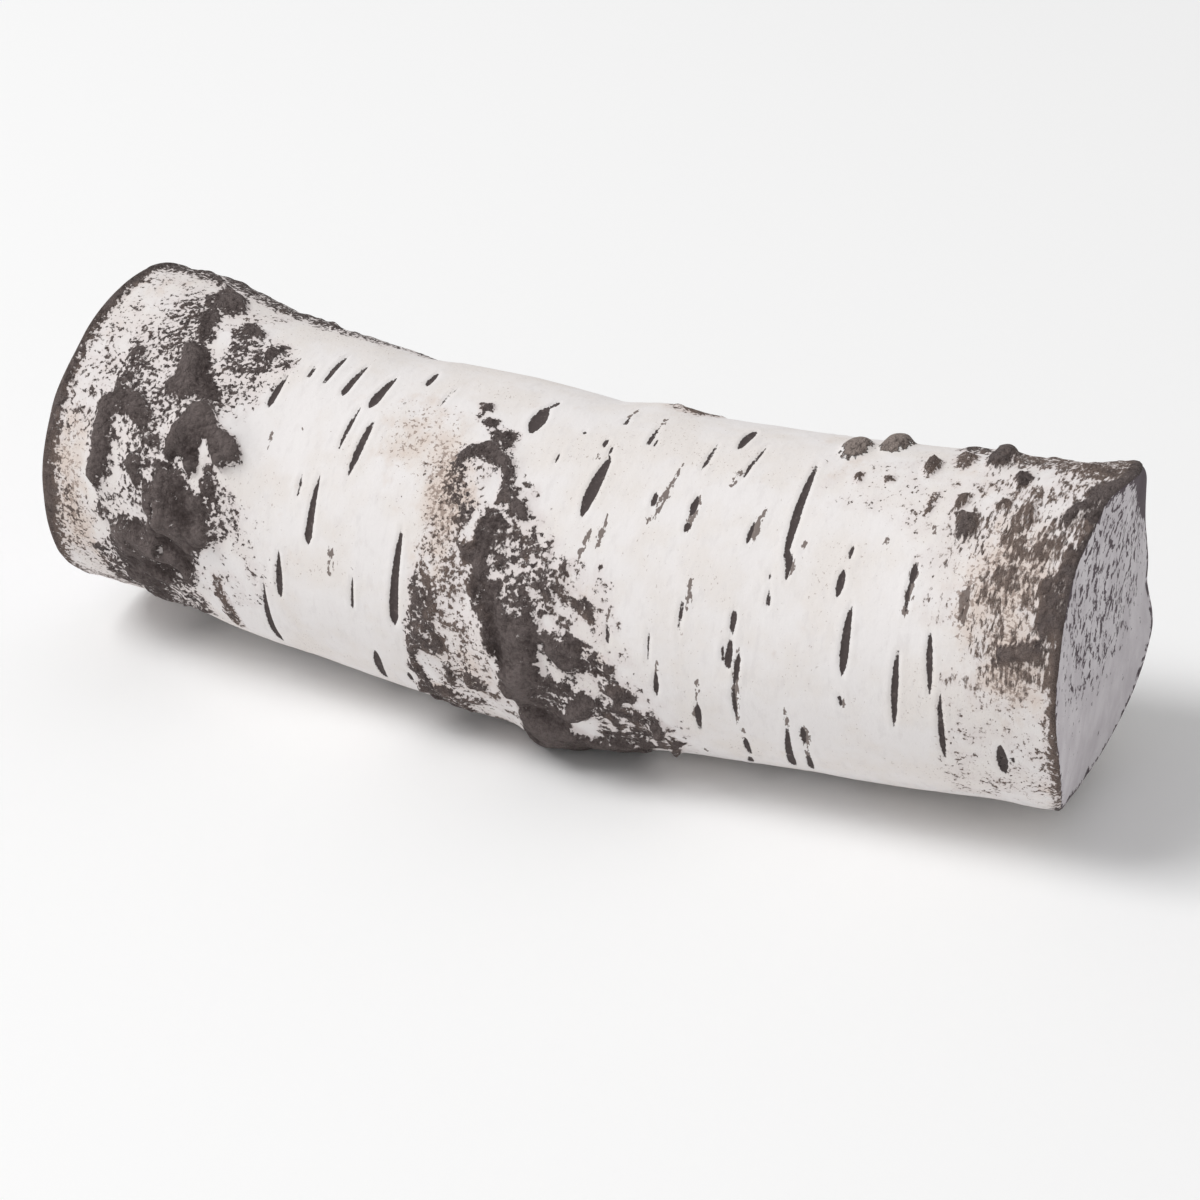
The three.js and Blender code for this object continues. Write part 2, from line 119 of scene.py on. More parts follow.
# Crust, the dark rough bark, as outlines on the unrolled bark. Its level is 0 where half of the bark is
# dark, 2 where nearly all is and -2 where only specks are. Each outline has its level, the mm over
# which the level falls by 1 at the edge, a warmth, from 0 charcoal to 1 brown, and its corners
CRUST_LEFT = (
    (0.4, 2.0, 0.1, ((-128, 40), (-90, 48), (-60, 52), (-48, 60), (-60, 68), (-74, 70), (-88, 72),
        (-99, 70), (-112, 73), (-128, 77))),
    (-1.3, 2.5, 0.4, ((-127, 76), (-88, 73), (-84, 80), (-88, 90), (-94, 92), (-104, 95), (-109, 108),
        (-112, 124), (-114, 140), (-116, 152), (-116, 156), (-127, 158))),
    (-0.9, 1.5, 0.4, ((-122, 112), (-116, 112), (-114, 124), (-113, 140), (-117, 152), (-122, 154),
        (-124, 130))),
    (-1.6, 2.0, 0.7, ((-127, 156), (-116, 156), (-115, 172), (-110, 190), (-110, 212), (-113, 222),
        (-127, 222))),
    (-0.9, 1.5, 0.6, ((-125, 172), (-120, 174), (-118, 186), (-115, 196), (-112, 210), (-117, 212),
        (-120, 200), (-125, 196))),
    (1.7, 1.0, 0.0, ((-103, 77), (-98, 74), (-94, 78), (-92, 84), (-94, 89), (-98, 90), (-99, 93),
        (-102, 91), (-104, 85))),
    (2.0, 0.8, 0.0, ((-102, 89), (-98, 91), (-96, 96), (-94.5, 104), (-95, 108), (-98, 107), (-100, 102),
        (-101, 96))),
    (2.4, 0.8, 0.0, ((-97, 107), (-94, 108), (-91, 110), (-89.5, 117), (-87, 121), (-83.5, 125), (-85, 130),
        (-90, 128.5), (-93, 131), (-98, 132.5), (-99, 126), (-98, 119), (-98.5, 112))),
    (-0.3, 2.0, 0.2, ((-107, 82), (-101, 84), (-98, 100), (-97, 112), (-99, 130), (-108, 133), (-112, 124),
        (-112, 110), (-106, 100), (-108, 92))),
    (0.8, 1.2, 0.0, ((-112, 116), (-108, 116), (-108, 128), (-105, 134), (-112, 136))),
    (2.0, 0.6, 0.1, ((-90.5, 91), (-87, 91), (-84, 93), (-83.8, 96), (-87, 97.5), (-89, 95))),
    (0.2, 1.5, 0.1, ((-91, 94), (-88, 96), (-83, 99), (-79, 96), (-76, 97), (-76, 104), (-72.5, 103),
        (-73.5, 107), (-78, 110), (-82, 113), (-87, 111), (-90, 103))),
    (2.2, 0.5, 0.1, ((-80.5, 97), (-77.5, 96), (-76, 99), (-76.5, 104), (-79, 104.5), (-81, 101))),
    (1.6, 0.5, 0.1, ((-75, 103.5), (-73, 101.5), (-72.6, 106), (-74.5, 105.5))),
    (-0.6, 1.6, 0.1, ((-90, 110), (-82, 109), (-78, 116), (-80, 128), (-86, 131), (-90, 122))),
    (-1.3, 2.0, 0.2, ((-84, 100), (-74, 106), (-73, 116), (-76, 130), (-80, 134), (-84, 122))),
    (2.2, 0.8, 0.0, ((-110.5, 132), (-107.5, 134), (-104, 134.5), (-99, 137), (-98, 142), (-101, 146.5),
        (-104, 143), (-107, 141), (-109.5, 144), (-108.5, 152), (-108, 158), (-110, 162), (-110.5, 172),
        (-112.5, 173), (-114.5, 166), (-115, 156), (-114, 148), (-115, 141), (-112, 136))),
    (-0.4, 1.5, 0.1, ((-110, 142), (-98, 142), (-94, 152), (-93, 164), (-94, 180), (-112, 180), (-112, 172),
        (-109, 160))),
    (1.2, 0.8, 0.0, ((-103, 154), (-99, 153), (-98, 161), (-100, 165), (-103, 162))),
    (0.0, 1.0, 0.1, ((-101, 130), (-93, 128), (-88, 130), (-92, 151), (-99, 151))),
    (2.2, 0.8, 0.0, ((-97, 174), (-90, 177), (-84, 180), (-85, 186), (-92, 187), (-99, 182))),
    (1.4, 0.8, 0.1, ((-97, 161), (-94, 165), (-93, 176), (-96, 178), (-98, 170))),
    (3.0, 0.35, 0.0, ((-90.5, 131), (-86, 130), (-82.5, 132), (-80, 136), (-76, 138.5), (-73.8, 142),
        (-73.8, 145), (-77, 149.5), (-79.5, 148), (-81.2, 144), (-82.5, 141.5), (-83.4, 143), (-83.8, 147),
        (-83.2, 151), (-86, 154), (-89, 150), (-93.5, 150.5), (-92.5, 144), (-91, 138))),
    (2.0, 0.7, 0.0, ((-95, 152), (-91, 151), (-88, 154), (-85, 158), (-81, 160), (-78.5, 163), (-79, 172),
        (-80.5, 178), (-84, 181), (-88, 183), (-92, 181), (-93, 175), (-94, 170), (-96, 166),
        (-95.5, 158))),
    (0.9, 0.8, 0.1, ((-81, 148), (-79, 149), (-78.5, 156), (-77, 161), (-80, 162), (-82, 157))),
    (-0.2, 1.2, 0.1, ((-80, 154), (-76, 156), (-72.5, 160), (-73, 168), (-78, 176), (-81, 170))),
    (-1.7, 2.5, 0.3, ((-80, 158), (-68, 162), (-62, 168), (-60, 178), (-64, 190), (-72, 198), (-82, 202),
        (-84, 184))),
    (1.6, 0.8, 0.0, ((-109, 181), (-106, 178), (-102, 175), (-99, 174), (-95, 178), (-92, 182), (-88, 184),
        (-86, 186), (-86, 194), (-87, 199), (-92, 202), (-96, 205), (-97, 212), (-98, 220), (-101, 230),
        (-100, 245), (-96, 260), (-100, 268), (-108, 252), (-110, 236), (-108, 226), (-108, 212),
        (-109, 200), (-110, 190))),
    (0.3, 1.5, 0.1, ((-116, 196), (-109, 192), (-108, 214), (-108, 226), (-114, 222))),
    (0.1, 1.5, 0.2, ((-97, 204), (-89, 202), (-86, 208), (-87, 218), (-96, 222))),
    (0.8, 0.6, 0.6, ((-79.8, 190), (-78, 190), (-77.6, 204), (-76.2, 212), (-77, 217), (-79.6, 216),
        (-80.2, 204))),
)
CRUST_MIDDLE = (
    (2.2, 0.4, 0.2, ((-23.6, 98), (-21.5, 96.3), (-20.2, 99.5), (-21.2, 102), (-21.6, 107), (-22.5, 106),
        (-22.2, 101.5))),
    (2.2, 0.4, 0.2, ((-20, 105), (-17, 104), (-16, 107), (-18, 108.7), (-20, 107.7))),
    (1.2, 0.6, 0.1, ((-17.5, 109.5), (-14, 107), (-10, 109), (-9.8, 111), (-11, 113), (-9.6, 116),
        (-14, 117), (-15.5, 112))),
    (2.2, 0.6, 0.0, ((-22.5, 126), (-21.5, 119), (-19, 116.5), (-16, 114), (-12.5, 116.5), (-8.5, 120.5),
        (-6.5, 125), (-6, 129), (-9, 129), (-11, 124), (-15, 121), (-19, 122.5), (-19.5, 126))),
    (2.2, 0.5, 0.1, ((-8.8, 129), (-5.4, 128), (-4, 132.5), (-0.8, 134.5), (0.4, 137.5), (-3, 139),
        (-5, 137), (-8.6, 136))),
    (0.0, 1.0, 0.3, ((-23, 125), (-19, 124), (-18, 132), (-17, 140), (-22, 136))),
    (-1.2, 1.2, 0.5, ((-22, 124), (-11, 123), (-8, 132), (-8, 141), (-16, 146), (-23, 138))),
    (1.2, 0.6, 0.1, ((-16.5, 135), (-14, 137), (-14, 141), (-16, 146), (-19, 145), (-17.5, 140))),
    (2.2, 0.6, 0.0, ((-13, 142), (-10, 139), (-6, 139.5), (-6, 144), (-8, 149), (-7, 154), (-6, 158),
        (-8, 166), (-9, 172), (-12, 166), (-11, 158), (-14, 157), (-16.5, 150), (-12.5, 149))),
    (0.4, 1.5, 0.2, ((-8, 138), (0, 137), (3, 144), (7, 150), (9, 156), (9, 168), (-2, 170), (-6, 156))),
    (-0.9, 1.8, 0.4, ((-6, 120), (0, 130), (4, 142), (10, 148), (18, 150), (25, 166), (22, 180), (8, 170),
        (0, 150), (-6, 136))),
    (2.5, 0.8, 0.0, ((-8, 158), (-4, 160), (-1, 166), (4, 168), (8, 174), (12, 175), (16, 174), (19.5, 177),
        (22.5, 182), (18.5, 186.5), (14.5, 189), (11, 187), (8.5, 184), (7, 182.5), (6.8, 186), (7, 190),
        (5, 198), (6, 206), (3, 211), (-1, 209), (-3.5, 202), (-4, 192), (-6.5, 186), (-7.5, 178),
        (-9, 168))),
    (0.8, 0.9, 0.3, ((9, 149), (12, 151), (11.5, 156), (15, 157), (18, 161), (20.5, 166.5), (17, 167.5),
        (14, 164), (10.5, 163), (8.5, 156))),
    (1.1, 1.0, 0.3, ((18, 176), (22, 178), (25, 184), (29, 191), (26, 196), (22, 195), (19, 188))),
    (1.8, 0.5, 0.2, ((24, 190), (27, 190), (30, 194), (29.5, 199), (26, 197.5), (23.5, 194))),
    (1.0, 0.6, 0.3, ((29.5, 200), (33, 199), (33.5, 203), (30, 204))),
    (1.7, 0.5, 0.2, ((32, 204), (34.5, 202), (36.5, 206), (35.6, 213), (33, 214), (31.5, 209))),
    (0.9, 1.2, 0.3, ((20, 196), (30, 200), (36, 206), (36, 226), (28, 230), (20, 222), (19, 208))),
    (2.4, 0.7, 0.0, ((12, 204), (14, 197), (18, 194), (20.5, 198), (19.5, 205), (15.5, 209), (10, 211),
        (7, 208), (9, 205))),
    (1.1, 1.0, 0.1, ((5, 190), (14, 190), (14, 198), (10, 212), (4, 210))),
    (2.4, 0.8, 0.0, ((-1, 208), (6, 207), (10, 211), (12, 217), (14, 222), (18.5, 222.5), (24, 218.5),
        (28, 222), (28.5, 232), (25, 244), (18, 258), (6, 264), (-3, 254), (-4, 240), (-2, 228))),
    (0.9, 0.6, 0.3, ((33.4, 214), (36.6, 213), (38.4, 216), (36.5, 227), (34, 236), (33, 226))),
    (0.8, 0.7, 0.3, ((-25.5, 161.5), (-23, 161.5), (-20.6, 166), (-19.4, 172), (-19.4, 182), (-17.5, 187),
        (-17.5, 192), (-20, 196), (-24.5, 194), (-26.5, 198), (-25, 204), (-24.4, 212), (-20, 213),
        (-16, 215), (-12, 214), (-10, 217), (-15, 222), (-17, 232), (-18, 246), (-26, 244), (-28, 228),
        (-28.4, 214), (-27.6, 200), (-28, 188), (-26, 180), (-26, 172))),
    (1.2, 0.6, 0.2, ((-18.4, 198), (-16.5, 199), (-16, 209), (-18, 212), (-18.8, 206))),
    (1.2, 0.8, 0.1, ((-13, 200), (-9, 200), (-8, 206), (-11, 209), (-14, 206))),
    (-0.8, 1.5, 0.8, ((-20, 160), (-10, 158), (-6, 176), (-5, 200), (-3, 212), (-20, 216), (-22, 200),
        (-19, 184))),
    (-1.3, 1.5, 0.6, ((-20, 200), (-4, 196), (-1, 212), (-3, 232), (-18, 234), (-22, 214))),
    (-0.3, 1.2, 0.3, ((-18, 228), (-4, 230), (-6, 252), (-18, 250))),
    (-1.2, 2.0, 1.0, ((-28, 128), (-22, 124), (-20, 140), (-12, 148), (-12, 160), (-20, 166), (-26, 158),
        (-25, 144))),
    (-0.5, 1.5, 0.9, ((-25, 138), (-18, 142), (-13, 150), (-12, 164), (-20, 168), (-24, 160))),
    (-2.3, 3.0, 1.0, ((-44, 106), (-32, 100), (-24, 104), (-23, 126), (-26, 150), (-34, 138), (-42, 122))),
    (-1.6, 2.0, 0.3, ((26, 172), (40, 204), (40, 232), (30, 226), (24, 186))),
    (-0.3, 1.4, 0.8, ((14, 56), (18, 49), (26, 53), (28, 64), (23, 72), (17, 70))),
)
CRUST_RIGHT = (
    (0.5, 1.0, 0.3, ((86, 64), (92, 66), (94, 73), (90, 75.5), (86, 73))),
    (0.3, 1.4, 0.7, ((98, 52), (127, 50), (127, 82), (123, 88), (118, 90), (112, 87), (110, 82), (107, 85),
        (101, 84), (98, 78))),
    (-1.0, 1.5, 1.0, ((111, 84), (122, 86), (122, 98), (117, 104), (113, 102), (110, 94))),
    (2.4, 0.7, 0.0, ((124, 64), (130, 66), (130, 105), (125, 106), (123, 108), (121, 114), (118, 118.5),
        (115.8, 114), (118, 110), (119.6, 104), (118.5, 99), (121, 94), (122, 86))),
    (1.8, 0.6, 0.2, ((120.4, 123), (122, 120), (124, 130), (124, 150), (121, 156), (118.4, 152), (118, 142),
        (117, 139), (118, 134.5), (121, 133))),
    (0.1, 0.7, 0.8, ((114, 118), (118.5, 114), (122, 118), (122, 125), (119, 128), (115, 129),
        (112.6, 125))),
    (0.2, 0.6, 0.9, ((108.2, 102), (110.6, 104), (110.8, 116), (111.4, 128), (108, 129.5), (107, 122),
        (107.6, 110))),
    (-1.5, 1.5, 1.0, ((103, 98), (113, 96), (116, 106), (113, 120), (114, 134), (120, 146), (116, 150),
        (107, 143), (104, 132), (106, 118))),
    (2.2, 0.5, 0.0, ((103.6, 93), (105.4, 91.5), (106.8, 94), (106.4, 98), (105, 101), (103.6, 98))),
    (2.2, 0.6, 0.1, ((94.5, 62), (97.5, 66), (99, 76), (99.4, 86), (98, 89.5), (95.5, 89), (94, 82),
        (93.6, 70))),
    (0.8, 0.8, 0.8, ((88, 80), (91.5, 79), (91.5, 86), (90, 92), (88, 90))),
    (1.4, 0.6, 0.8, ((82.6, 88), (85, 87), (85, 94), (83.6, 98), (82.2, 95))),
    (1.6, 0.6, 0.0, ((95, 113), (99, 113.5), (99.8, 119), (98, 125), (96, 124), (96, 118))),
    (1.2, 0.6, 0.7, ((92.5, 106), (95.8, 105.5), (95.8, 111), (93.6, 113))),
    (1.4, 0.6, 0.6, ((101, 109.5), (103, 105.5), (105, 107), (104.6, 110.5), (102.6, 112))),
    (-1.2, 1.5, 0.9, ((90, 100), (106, 98), (108, 112), (102, 128), (94, 130), (91, 114))),
    (0.6, 0.6, 0.9, ((86.8, 107), (88.8, 105.5), (89, 113), (87.2, 116))),
    (0.7, 0.6, 0.3, ((107.6, 134), (112, 133), (112, 139), (109, 141))),
    (1.2, 0.7, 0.3, ((110.6, 156.5), (115, 155.5), (120, 156), (122, 158), (121, 162), (116, 161.5),
        (112, 164))),
    (-0.9, 1.5, 1.0, ((104, 128), (122, 128), (123, 172), (112, 172), (106, 156))),
    (-1.6, 2.0, 1.0, ((100, 168), (124, 168), (125, 226), (101, 226), (100, 200))),
    (-1.8, 2.0, 1.0, ((80, 84), (104, 84), (104, 150), (96, 152), (86, 124), (78, 104))),
    (0.8, 0.5, 0.9, ((68, 100.5), (70, 99), (70, 104), (68.5, 103.5))),
    (1.6, 0.4, 0.9, ((75.5, 100), (78, 99.5), (78.2, 102), (76.5, 103))),
    (-2.1, 2.0, 0.8, ((58, 92), (84, 90), (92, 116), (76, 118), (58, 112))),
)
CRUST_BEHIND = (
    (1.5, 0.8, 0.0, ((-111, 286), (-102, 280), (-95, 290), (-98, 300), (-90, 310), (-92, 326), (-101, 330),
        (-107, 318), (-104, 304), (-110, 298))),
    (1.2, 0.8, 0.1, ((-114, 334), (-104, 330), (-98, 344), (-101, 356), (-96, 366), (-86, 372), (-88, 384),
        (-98, 388), (-108, 378), (-106, 362), (-113, 350))),
    (0.3, 1.6, 0.2, ((-112, 270), (-90, 268), (-84, 300), (-86, 340), (-80, 376), (-84, 404), (-112, 404),
        (-116, 340))),
    (-0.9, 1.6, 0.5, ((-128, 222), (-110, 222), (-112, 270), (-114, 340), (-112, 404), (-128, 410))),
    (1.4, 0.8, 0.1, ((3, 262), (14, 258), (22, 268), (20, 280), (14, 288), (8, 280), (2, 274))),
    (0.0, 1.6, 0.4, ((-6, 262), (24, 256), (28, 276), (18, 296), (6, 290))),
    (2.0, 0.8, 0.0, ((48, 324), (56, 322), (62, 330), (60, 340), (53, 344), (46, 338))),
    (0.9, 1.6, 0.2, ((42, 316), (52, 312), (64, 322), (70, 334), (66, 350), (56, 354), (46, 346),
        (40, 332))),
    (-1.3, 1.6, 0.7, ((34, 308), (66, 304), (78, 330), (74, 356), (50, 366), (36, 350))),
    (1.9, 0.8, 0.0, ((-33, 358), (-25, 354), (-20, 364), (-22, 376), (-29, 380), (-35, 370))),
    (0.8, 1.6, 0.2, ((-38, 350), (-24, 340), (-16, 352), (-16, 372), (-26, 388), (-38, 392), (-42, 372))),
    (-1.3, 1.6, 0.7, ((-46, 336), (-14, 334), (-8, 370), (-30, 400), (-48, 390))),
    (1.0, 1.6, 0.1, ((108, 10), (116, 4), (124, 16), (124, 40), (114, 46), (106, 34))),
    (0.9, 1.6, 0.2, ((108, 330), (118, 326), (124, 336), (124, 352), (114, 356), (106, 346))),
    (-0.8, 1.6, 0.7, ((102, 270), (125, 262), (125, 416), (100, 414), (98, 340))),
)
OUTLINES = CRUST_LEFT + CRUST_MIDDLE + CRUST_RIGHT + CRUST_BEHIND

# Barer islands in the crust: the level that each lowers the crust to, and its corners
ISLANDS = (
    (-2.2, ((-94, 98), (-90, 98), (-89, 104), (-91, 109), (-94, 104))),
    (-0.5, ((-98, 146), (-94, 134), (-91, 129), (-89, 131), (-92, 140), (-95, 148))),
    (-2.6, ((-96, 144), (-94.5, 138), (-93, 134), (-92, 136), (-94, 142), (-95, 146))),
    (-2.6, ((-83.6, 142), (-82.4, 141.5), (-81.4, 144), (-81.8, 148), (-82.8, 148), (-82.4, 144.5))),
    (-2.6, ((-82.2, 149), (-81.2, 149), (-81.0, 155), (-82.2, 157))),
    (-1.4, ((-108, 154), (-105, 154), (-104, 164), (-106, 171), (-109, 168), (-107, 160))),
    (-2.6, ((-90, 149), (-88, 148.5), (-87.5, 151), (-89.5, 152))),
    (-2.6, ((-86, 155.5), (-83, 153), (-81.5, 156), (-82.5, 159.5), (-84, 157))),
    (-2.6, ((-95, 184.5), (-93, 185), (-94, 187.5), (-95.5, 187))),
    (-1.6, ((-92, 197), (-89, 194.5), (-88.5, 196), (-93, 200))),
    (-2.6, ((-3.5, 161), (-2, 159.5), (-1.5, 164), (-3, 166.5))),
    (-2.6, ((13, 159), (15.5, 159), (15.5, 161.5), (14, 162))),
    (-1.2, ((7, 178), (8.6, 179), (8, 183), (6.8, 182))),
    (-2.6, ((16.7, 179), (18.2, 179), (18.2, 181.5), (16.8, 181.5))),
    (-2.6, ((20.5, 186), (22.2, 187), (21.8, 189.5), (20.5, 189))),
    (-1.0, ((8.5, 188), (11, 188.5), (12.5, 192), (11.5, 194), (9.5, 192))),
    (-0.9, ((13.5, 211), (17, 210), (16.8, 217), (14.5, 219), (12, 215))),
    (-2.6, ((-22.8, 171), (-21.8, 170), (-22, 173), (-22.7, 174))),
    (-2.2, ((115.8, 119), (117.8, 117), (118.2, 121), (116.3, 122.5))),
    (-2.2, ((119.6, 117), (121.5, 119), (121.8, 123), (120, 123))),
    (-1.6, ((110.5, 88), (113, 92), (113, 98), (111, 102), (109.5, 95))),
    (-1.4, ((112, 104), (114.5, 100), (117, 106), (114, 118), (112, 126), (111.6, 112))),
)

# Width of the dark band along the rim of each saw cut, round the rim: angle, mm
RIGHT_BAND = (
    (20, 2.0), (70, 3.2), (100, 2.6), (120, 2.1), (140, 2.5), (152, 2.5), (163, 2.1), (180, 1.8),
    (200, 1.2), (222, 0.9), (280, 2.0),
)
LEFT_BAND = (
    (0, 2.0), (60, 4.4), (100, 3.8), (125, 3.0), (150, 3.4), (180, 4.2), (200, 3.4), (222, 1.4), (290, 2.2),
)

# Thickness of the dark bark that shows round the face of each saw cut: angle, mm
RIGHT_BARK = (
    (10, 1.5), (30, 7.0), (48, 8.5), (62, 6.8), (78, 3.8), (92, 1.6), (115, 0.8), (150, 0.4), (210, 0.4),
    (280, 1.0),
)
LEFT_BARK = (
    (0, 1.4), (60, 3.0), (110, 1.6), (170, 2.2), (230, 1.0), (300, 1.8),
)

# Ridges and hollows of the crust, as lines: x and angle of one end, x and angle of the other, half width
# and height in mm, which is under 0 for a hollow
RIDGES = (
    (-92.5, 148, -86.0, 133, 2.0, 2.2),
    (-85.5, 132, -76.0, 141, 2.2, 1.6),
    (-75.5, 143, -79.0, 149, 2.0, 0.9),
    (-91.0, 152, -85.5, 147, 1.6, -1.7),
    (-93.5, 157, -92.5, 171, 1.8, 1.4),
    (-92.5, 172, -86.0, 181, 2.0, 1.4),
    (-83.0, 161, -80.5, 171, 1.7, 1.2),
    (-87.5, 160, -85.5, 171, 2.2, -1.7),
    (-113.0, 140, -112.5, 168, 1.8, 1.2),
    (-112.0, 132, -101.0, 136, 1.8, 1.0),
    (-98.0, 111, -93.0, 124, 2.0, 1.2),
    (-92.0, 112, -87.5, 124, 1.8, -0.8),
    (-105.0, 184, -92.0, 188, 2.4, 1.2),
    (-104.0, 196, -92.0, 197, 2.0, -0.9),
    (-100.0, 78, -96.0, 96, 1.8, 0.9),
    (-21.0, 121, -15.5, 116, 1.8, 0.7),
    (-15.0, 116, -7.5, 124, 1.8, 0.6),
    (-7.0, 130, -3.0, 136, 1.8, 0.5),
    (-9.0, 145, -8.0, 160, 2.0, 0.5),
    (-4.0, 162, 1.5, 176, 2.8, 0.8),
    (1.5, 180, 2.0, 200, 2.8, 0.7),
    (-4.5, 180, -3.0, 190, 1.6, -0.8),
    (12.0, 177, 18.0, 184, 2.4, 0.6),
    (14.0, 206, 18.0, 199, 2.2, 0.6),
    (2.0, 212, 8.0, 224, 3.0, 0.6),
    (-24.0, 166, -23.5, 190, 1.6, 0.4),
    (124.0, 88, 122.5, 108, 2.0, 0.7),
    (119.5, 112, 114.5, 124, 1.8, 0.6),
    (109.5, 106, 109.5, 127, 1.4, 0.4),
    (97.0, 68, 97.0, 87, 1.8, 0.5),
    (97.0, 115, 97.5, 123, 1.4, 0.4),
    (112.5, 158, 120.5, 159, 1.6, 0.5),
)

# Lenticels, the slits that run round the trunk: x and angle of one tip, x and angle of the other,
# width, and where the slit is widest, from 0 at the first tip to 1 at the other
SLITS = (
    (-71.5, 108, -72.3, 123.5, 1.6, 0.8), (-66.6, 99, -66.6, 108, 0.9, 0.7),
    (-61.7, 90, -62.2, 109.5, 1.2, 0.5), (-55.4, 92, -56.3, 110.5, 1.6, 0.88),
    (-47.0, 94, -48.2, 112.5, 2.3, 0.8), (-50.3, 113, -51.0, 131, 1.0, 0.55),
    (-45.4, 116, -46.5, 139, 1.7, 0.5), (-57.8, 142, -57.8, 151, 0.7, 0.5),
    (-53.5, 141, -53.6, 165.5, 1.9, 0.85), (-61.0, 170, -61.2, 189, 1.7, 0.75),
    (-65.6, 184.5, -67.2, 222, 1.8, 0.75), (-41.3, 172, -41.4, 184.5, 0.8, 0.7),
    (-39.2, 84, -39.0, 95.5, 1.4, 0.7), (-31.8, 91, -32.3, 104, 0.6, 0.7),
    (-8.6, 91, -8.3, 106.5, 3.7, 0.55), (-7.2, 86, -8.2, 92, 1.2, 0.3),
    (-30.1, 149, -30.5, 186.5, 2.3, 0.86), (-37.2, 201, -38.8, 224, 2.2, 0.4),
    (-30.0, 209, -30.0, 216.5, 1.2, 0.5), (12.7, 109, 11.6, 134.5, 2.8, 0.6),
    (10.8, 86, 10.9, 92.5, 0.9, 0.7), (9.7, 101, 9.8, 106.5, 1.0, 0.6), (12.2, 104, 11.7, 109, 0.8, 0.5),
    (3.7, 99.8, 3.7, 102, 1.0, 0.5), (1.1, 112.5, 0.8, 117.5, 0.6, 0.5), (19.0, 88, 19.3, 101.8, 1.0, 0.8),
    (20.9, 97.5, 20.8, 101.5, 0.6, 0.6), (26.8, 120, 26.9, 126.5, 1.3, 0.5),
    (34.5, 93, 34.5, 110, 0.9, 0.6), (39.5, 78.5, 39.6, 96, 2.1, 0.45), (45.5, 90, 44.1, 111.5, 0.9, 0.7),
    (36.2, 119, 36.4, 127, 1.6, 0.6), (36.4, 129, 36.4, 133, 1.6, 0.3), (50.9, 125, 50.9, 133.5, 1.0, 0.7),
    (58.8, 96, 60.4, 138.5, 1.9, 0.62), (61.4, 134, 61.8, 144, 1.3, 0.3),
    (58.0, 141.5, 58.2, 144.5, 0.7, 0.6), (58.7, 147, 59.1, 153, 0.9, 0.8),
    (39.7, 154, 39.7, 168, 0.8, 0.3), (51.9, 155, 52.0, 164.5, 1.4, 0.3), (51.9, 164, 51.9, 176, 1.6, 0.6),
    (50.2, 167, 50.7, 175, 0.8, 0.6), (54.2, 169, 53.6, 182, 1.3, 0.4), (53.2, 181, 53.7, 196, 1.0, 0.3),
    (23.0, 166, 23.1, 175, 0.9, 0.6), (32.8, 166, 33.0, 178, 0.5, 0.3), (35.0, 181, 34.9, 191, 1.3, 0.6),
    (44.6, 191, 44.2, 206, 1.5, 0.35), (54.8, 205, 54.4, 219, 1.4, 0.35), (54.0, 220, 51.5, 236, 1.4, 0.4),
    (65.5, 194, 63.9, 225, 1.9, 0.75), (69.0, 194, 69.0, 204, 1.3, 0.4), (69.3, 209, 68.0, 226, 1.5, 0.5),
    (74.5, 129, 74.5, 134.5, 1.0, 0.5), (74.1, 137.5, 74.0, 147, 1.8, 0.5),
    (77.6, 148, 78.0, 172.5, 2.0, 0.6), (77.5, 179, 78.2, 184, 0.9, 0.3),
    (89.7, 160, 90.2, 189.5, 1.6, 0.5), (89.5, 133, 89.7, 141, 1.5, 0.5), (89.3, 140, 89.9, 150, 0.9, 0.4),
    (96.2, 154, 98.0, 175.5, 1.4, 0.4), (100.1, 173, 101.2, 201.5, 1.4, 0.6),
    (113.5, 191, 114.2, 206, 2.4, 0.5), (116.0, 196, 116.2, 200, 0.8, 0.5),
)

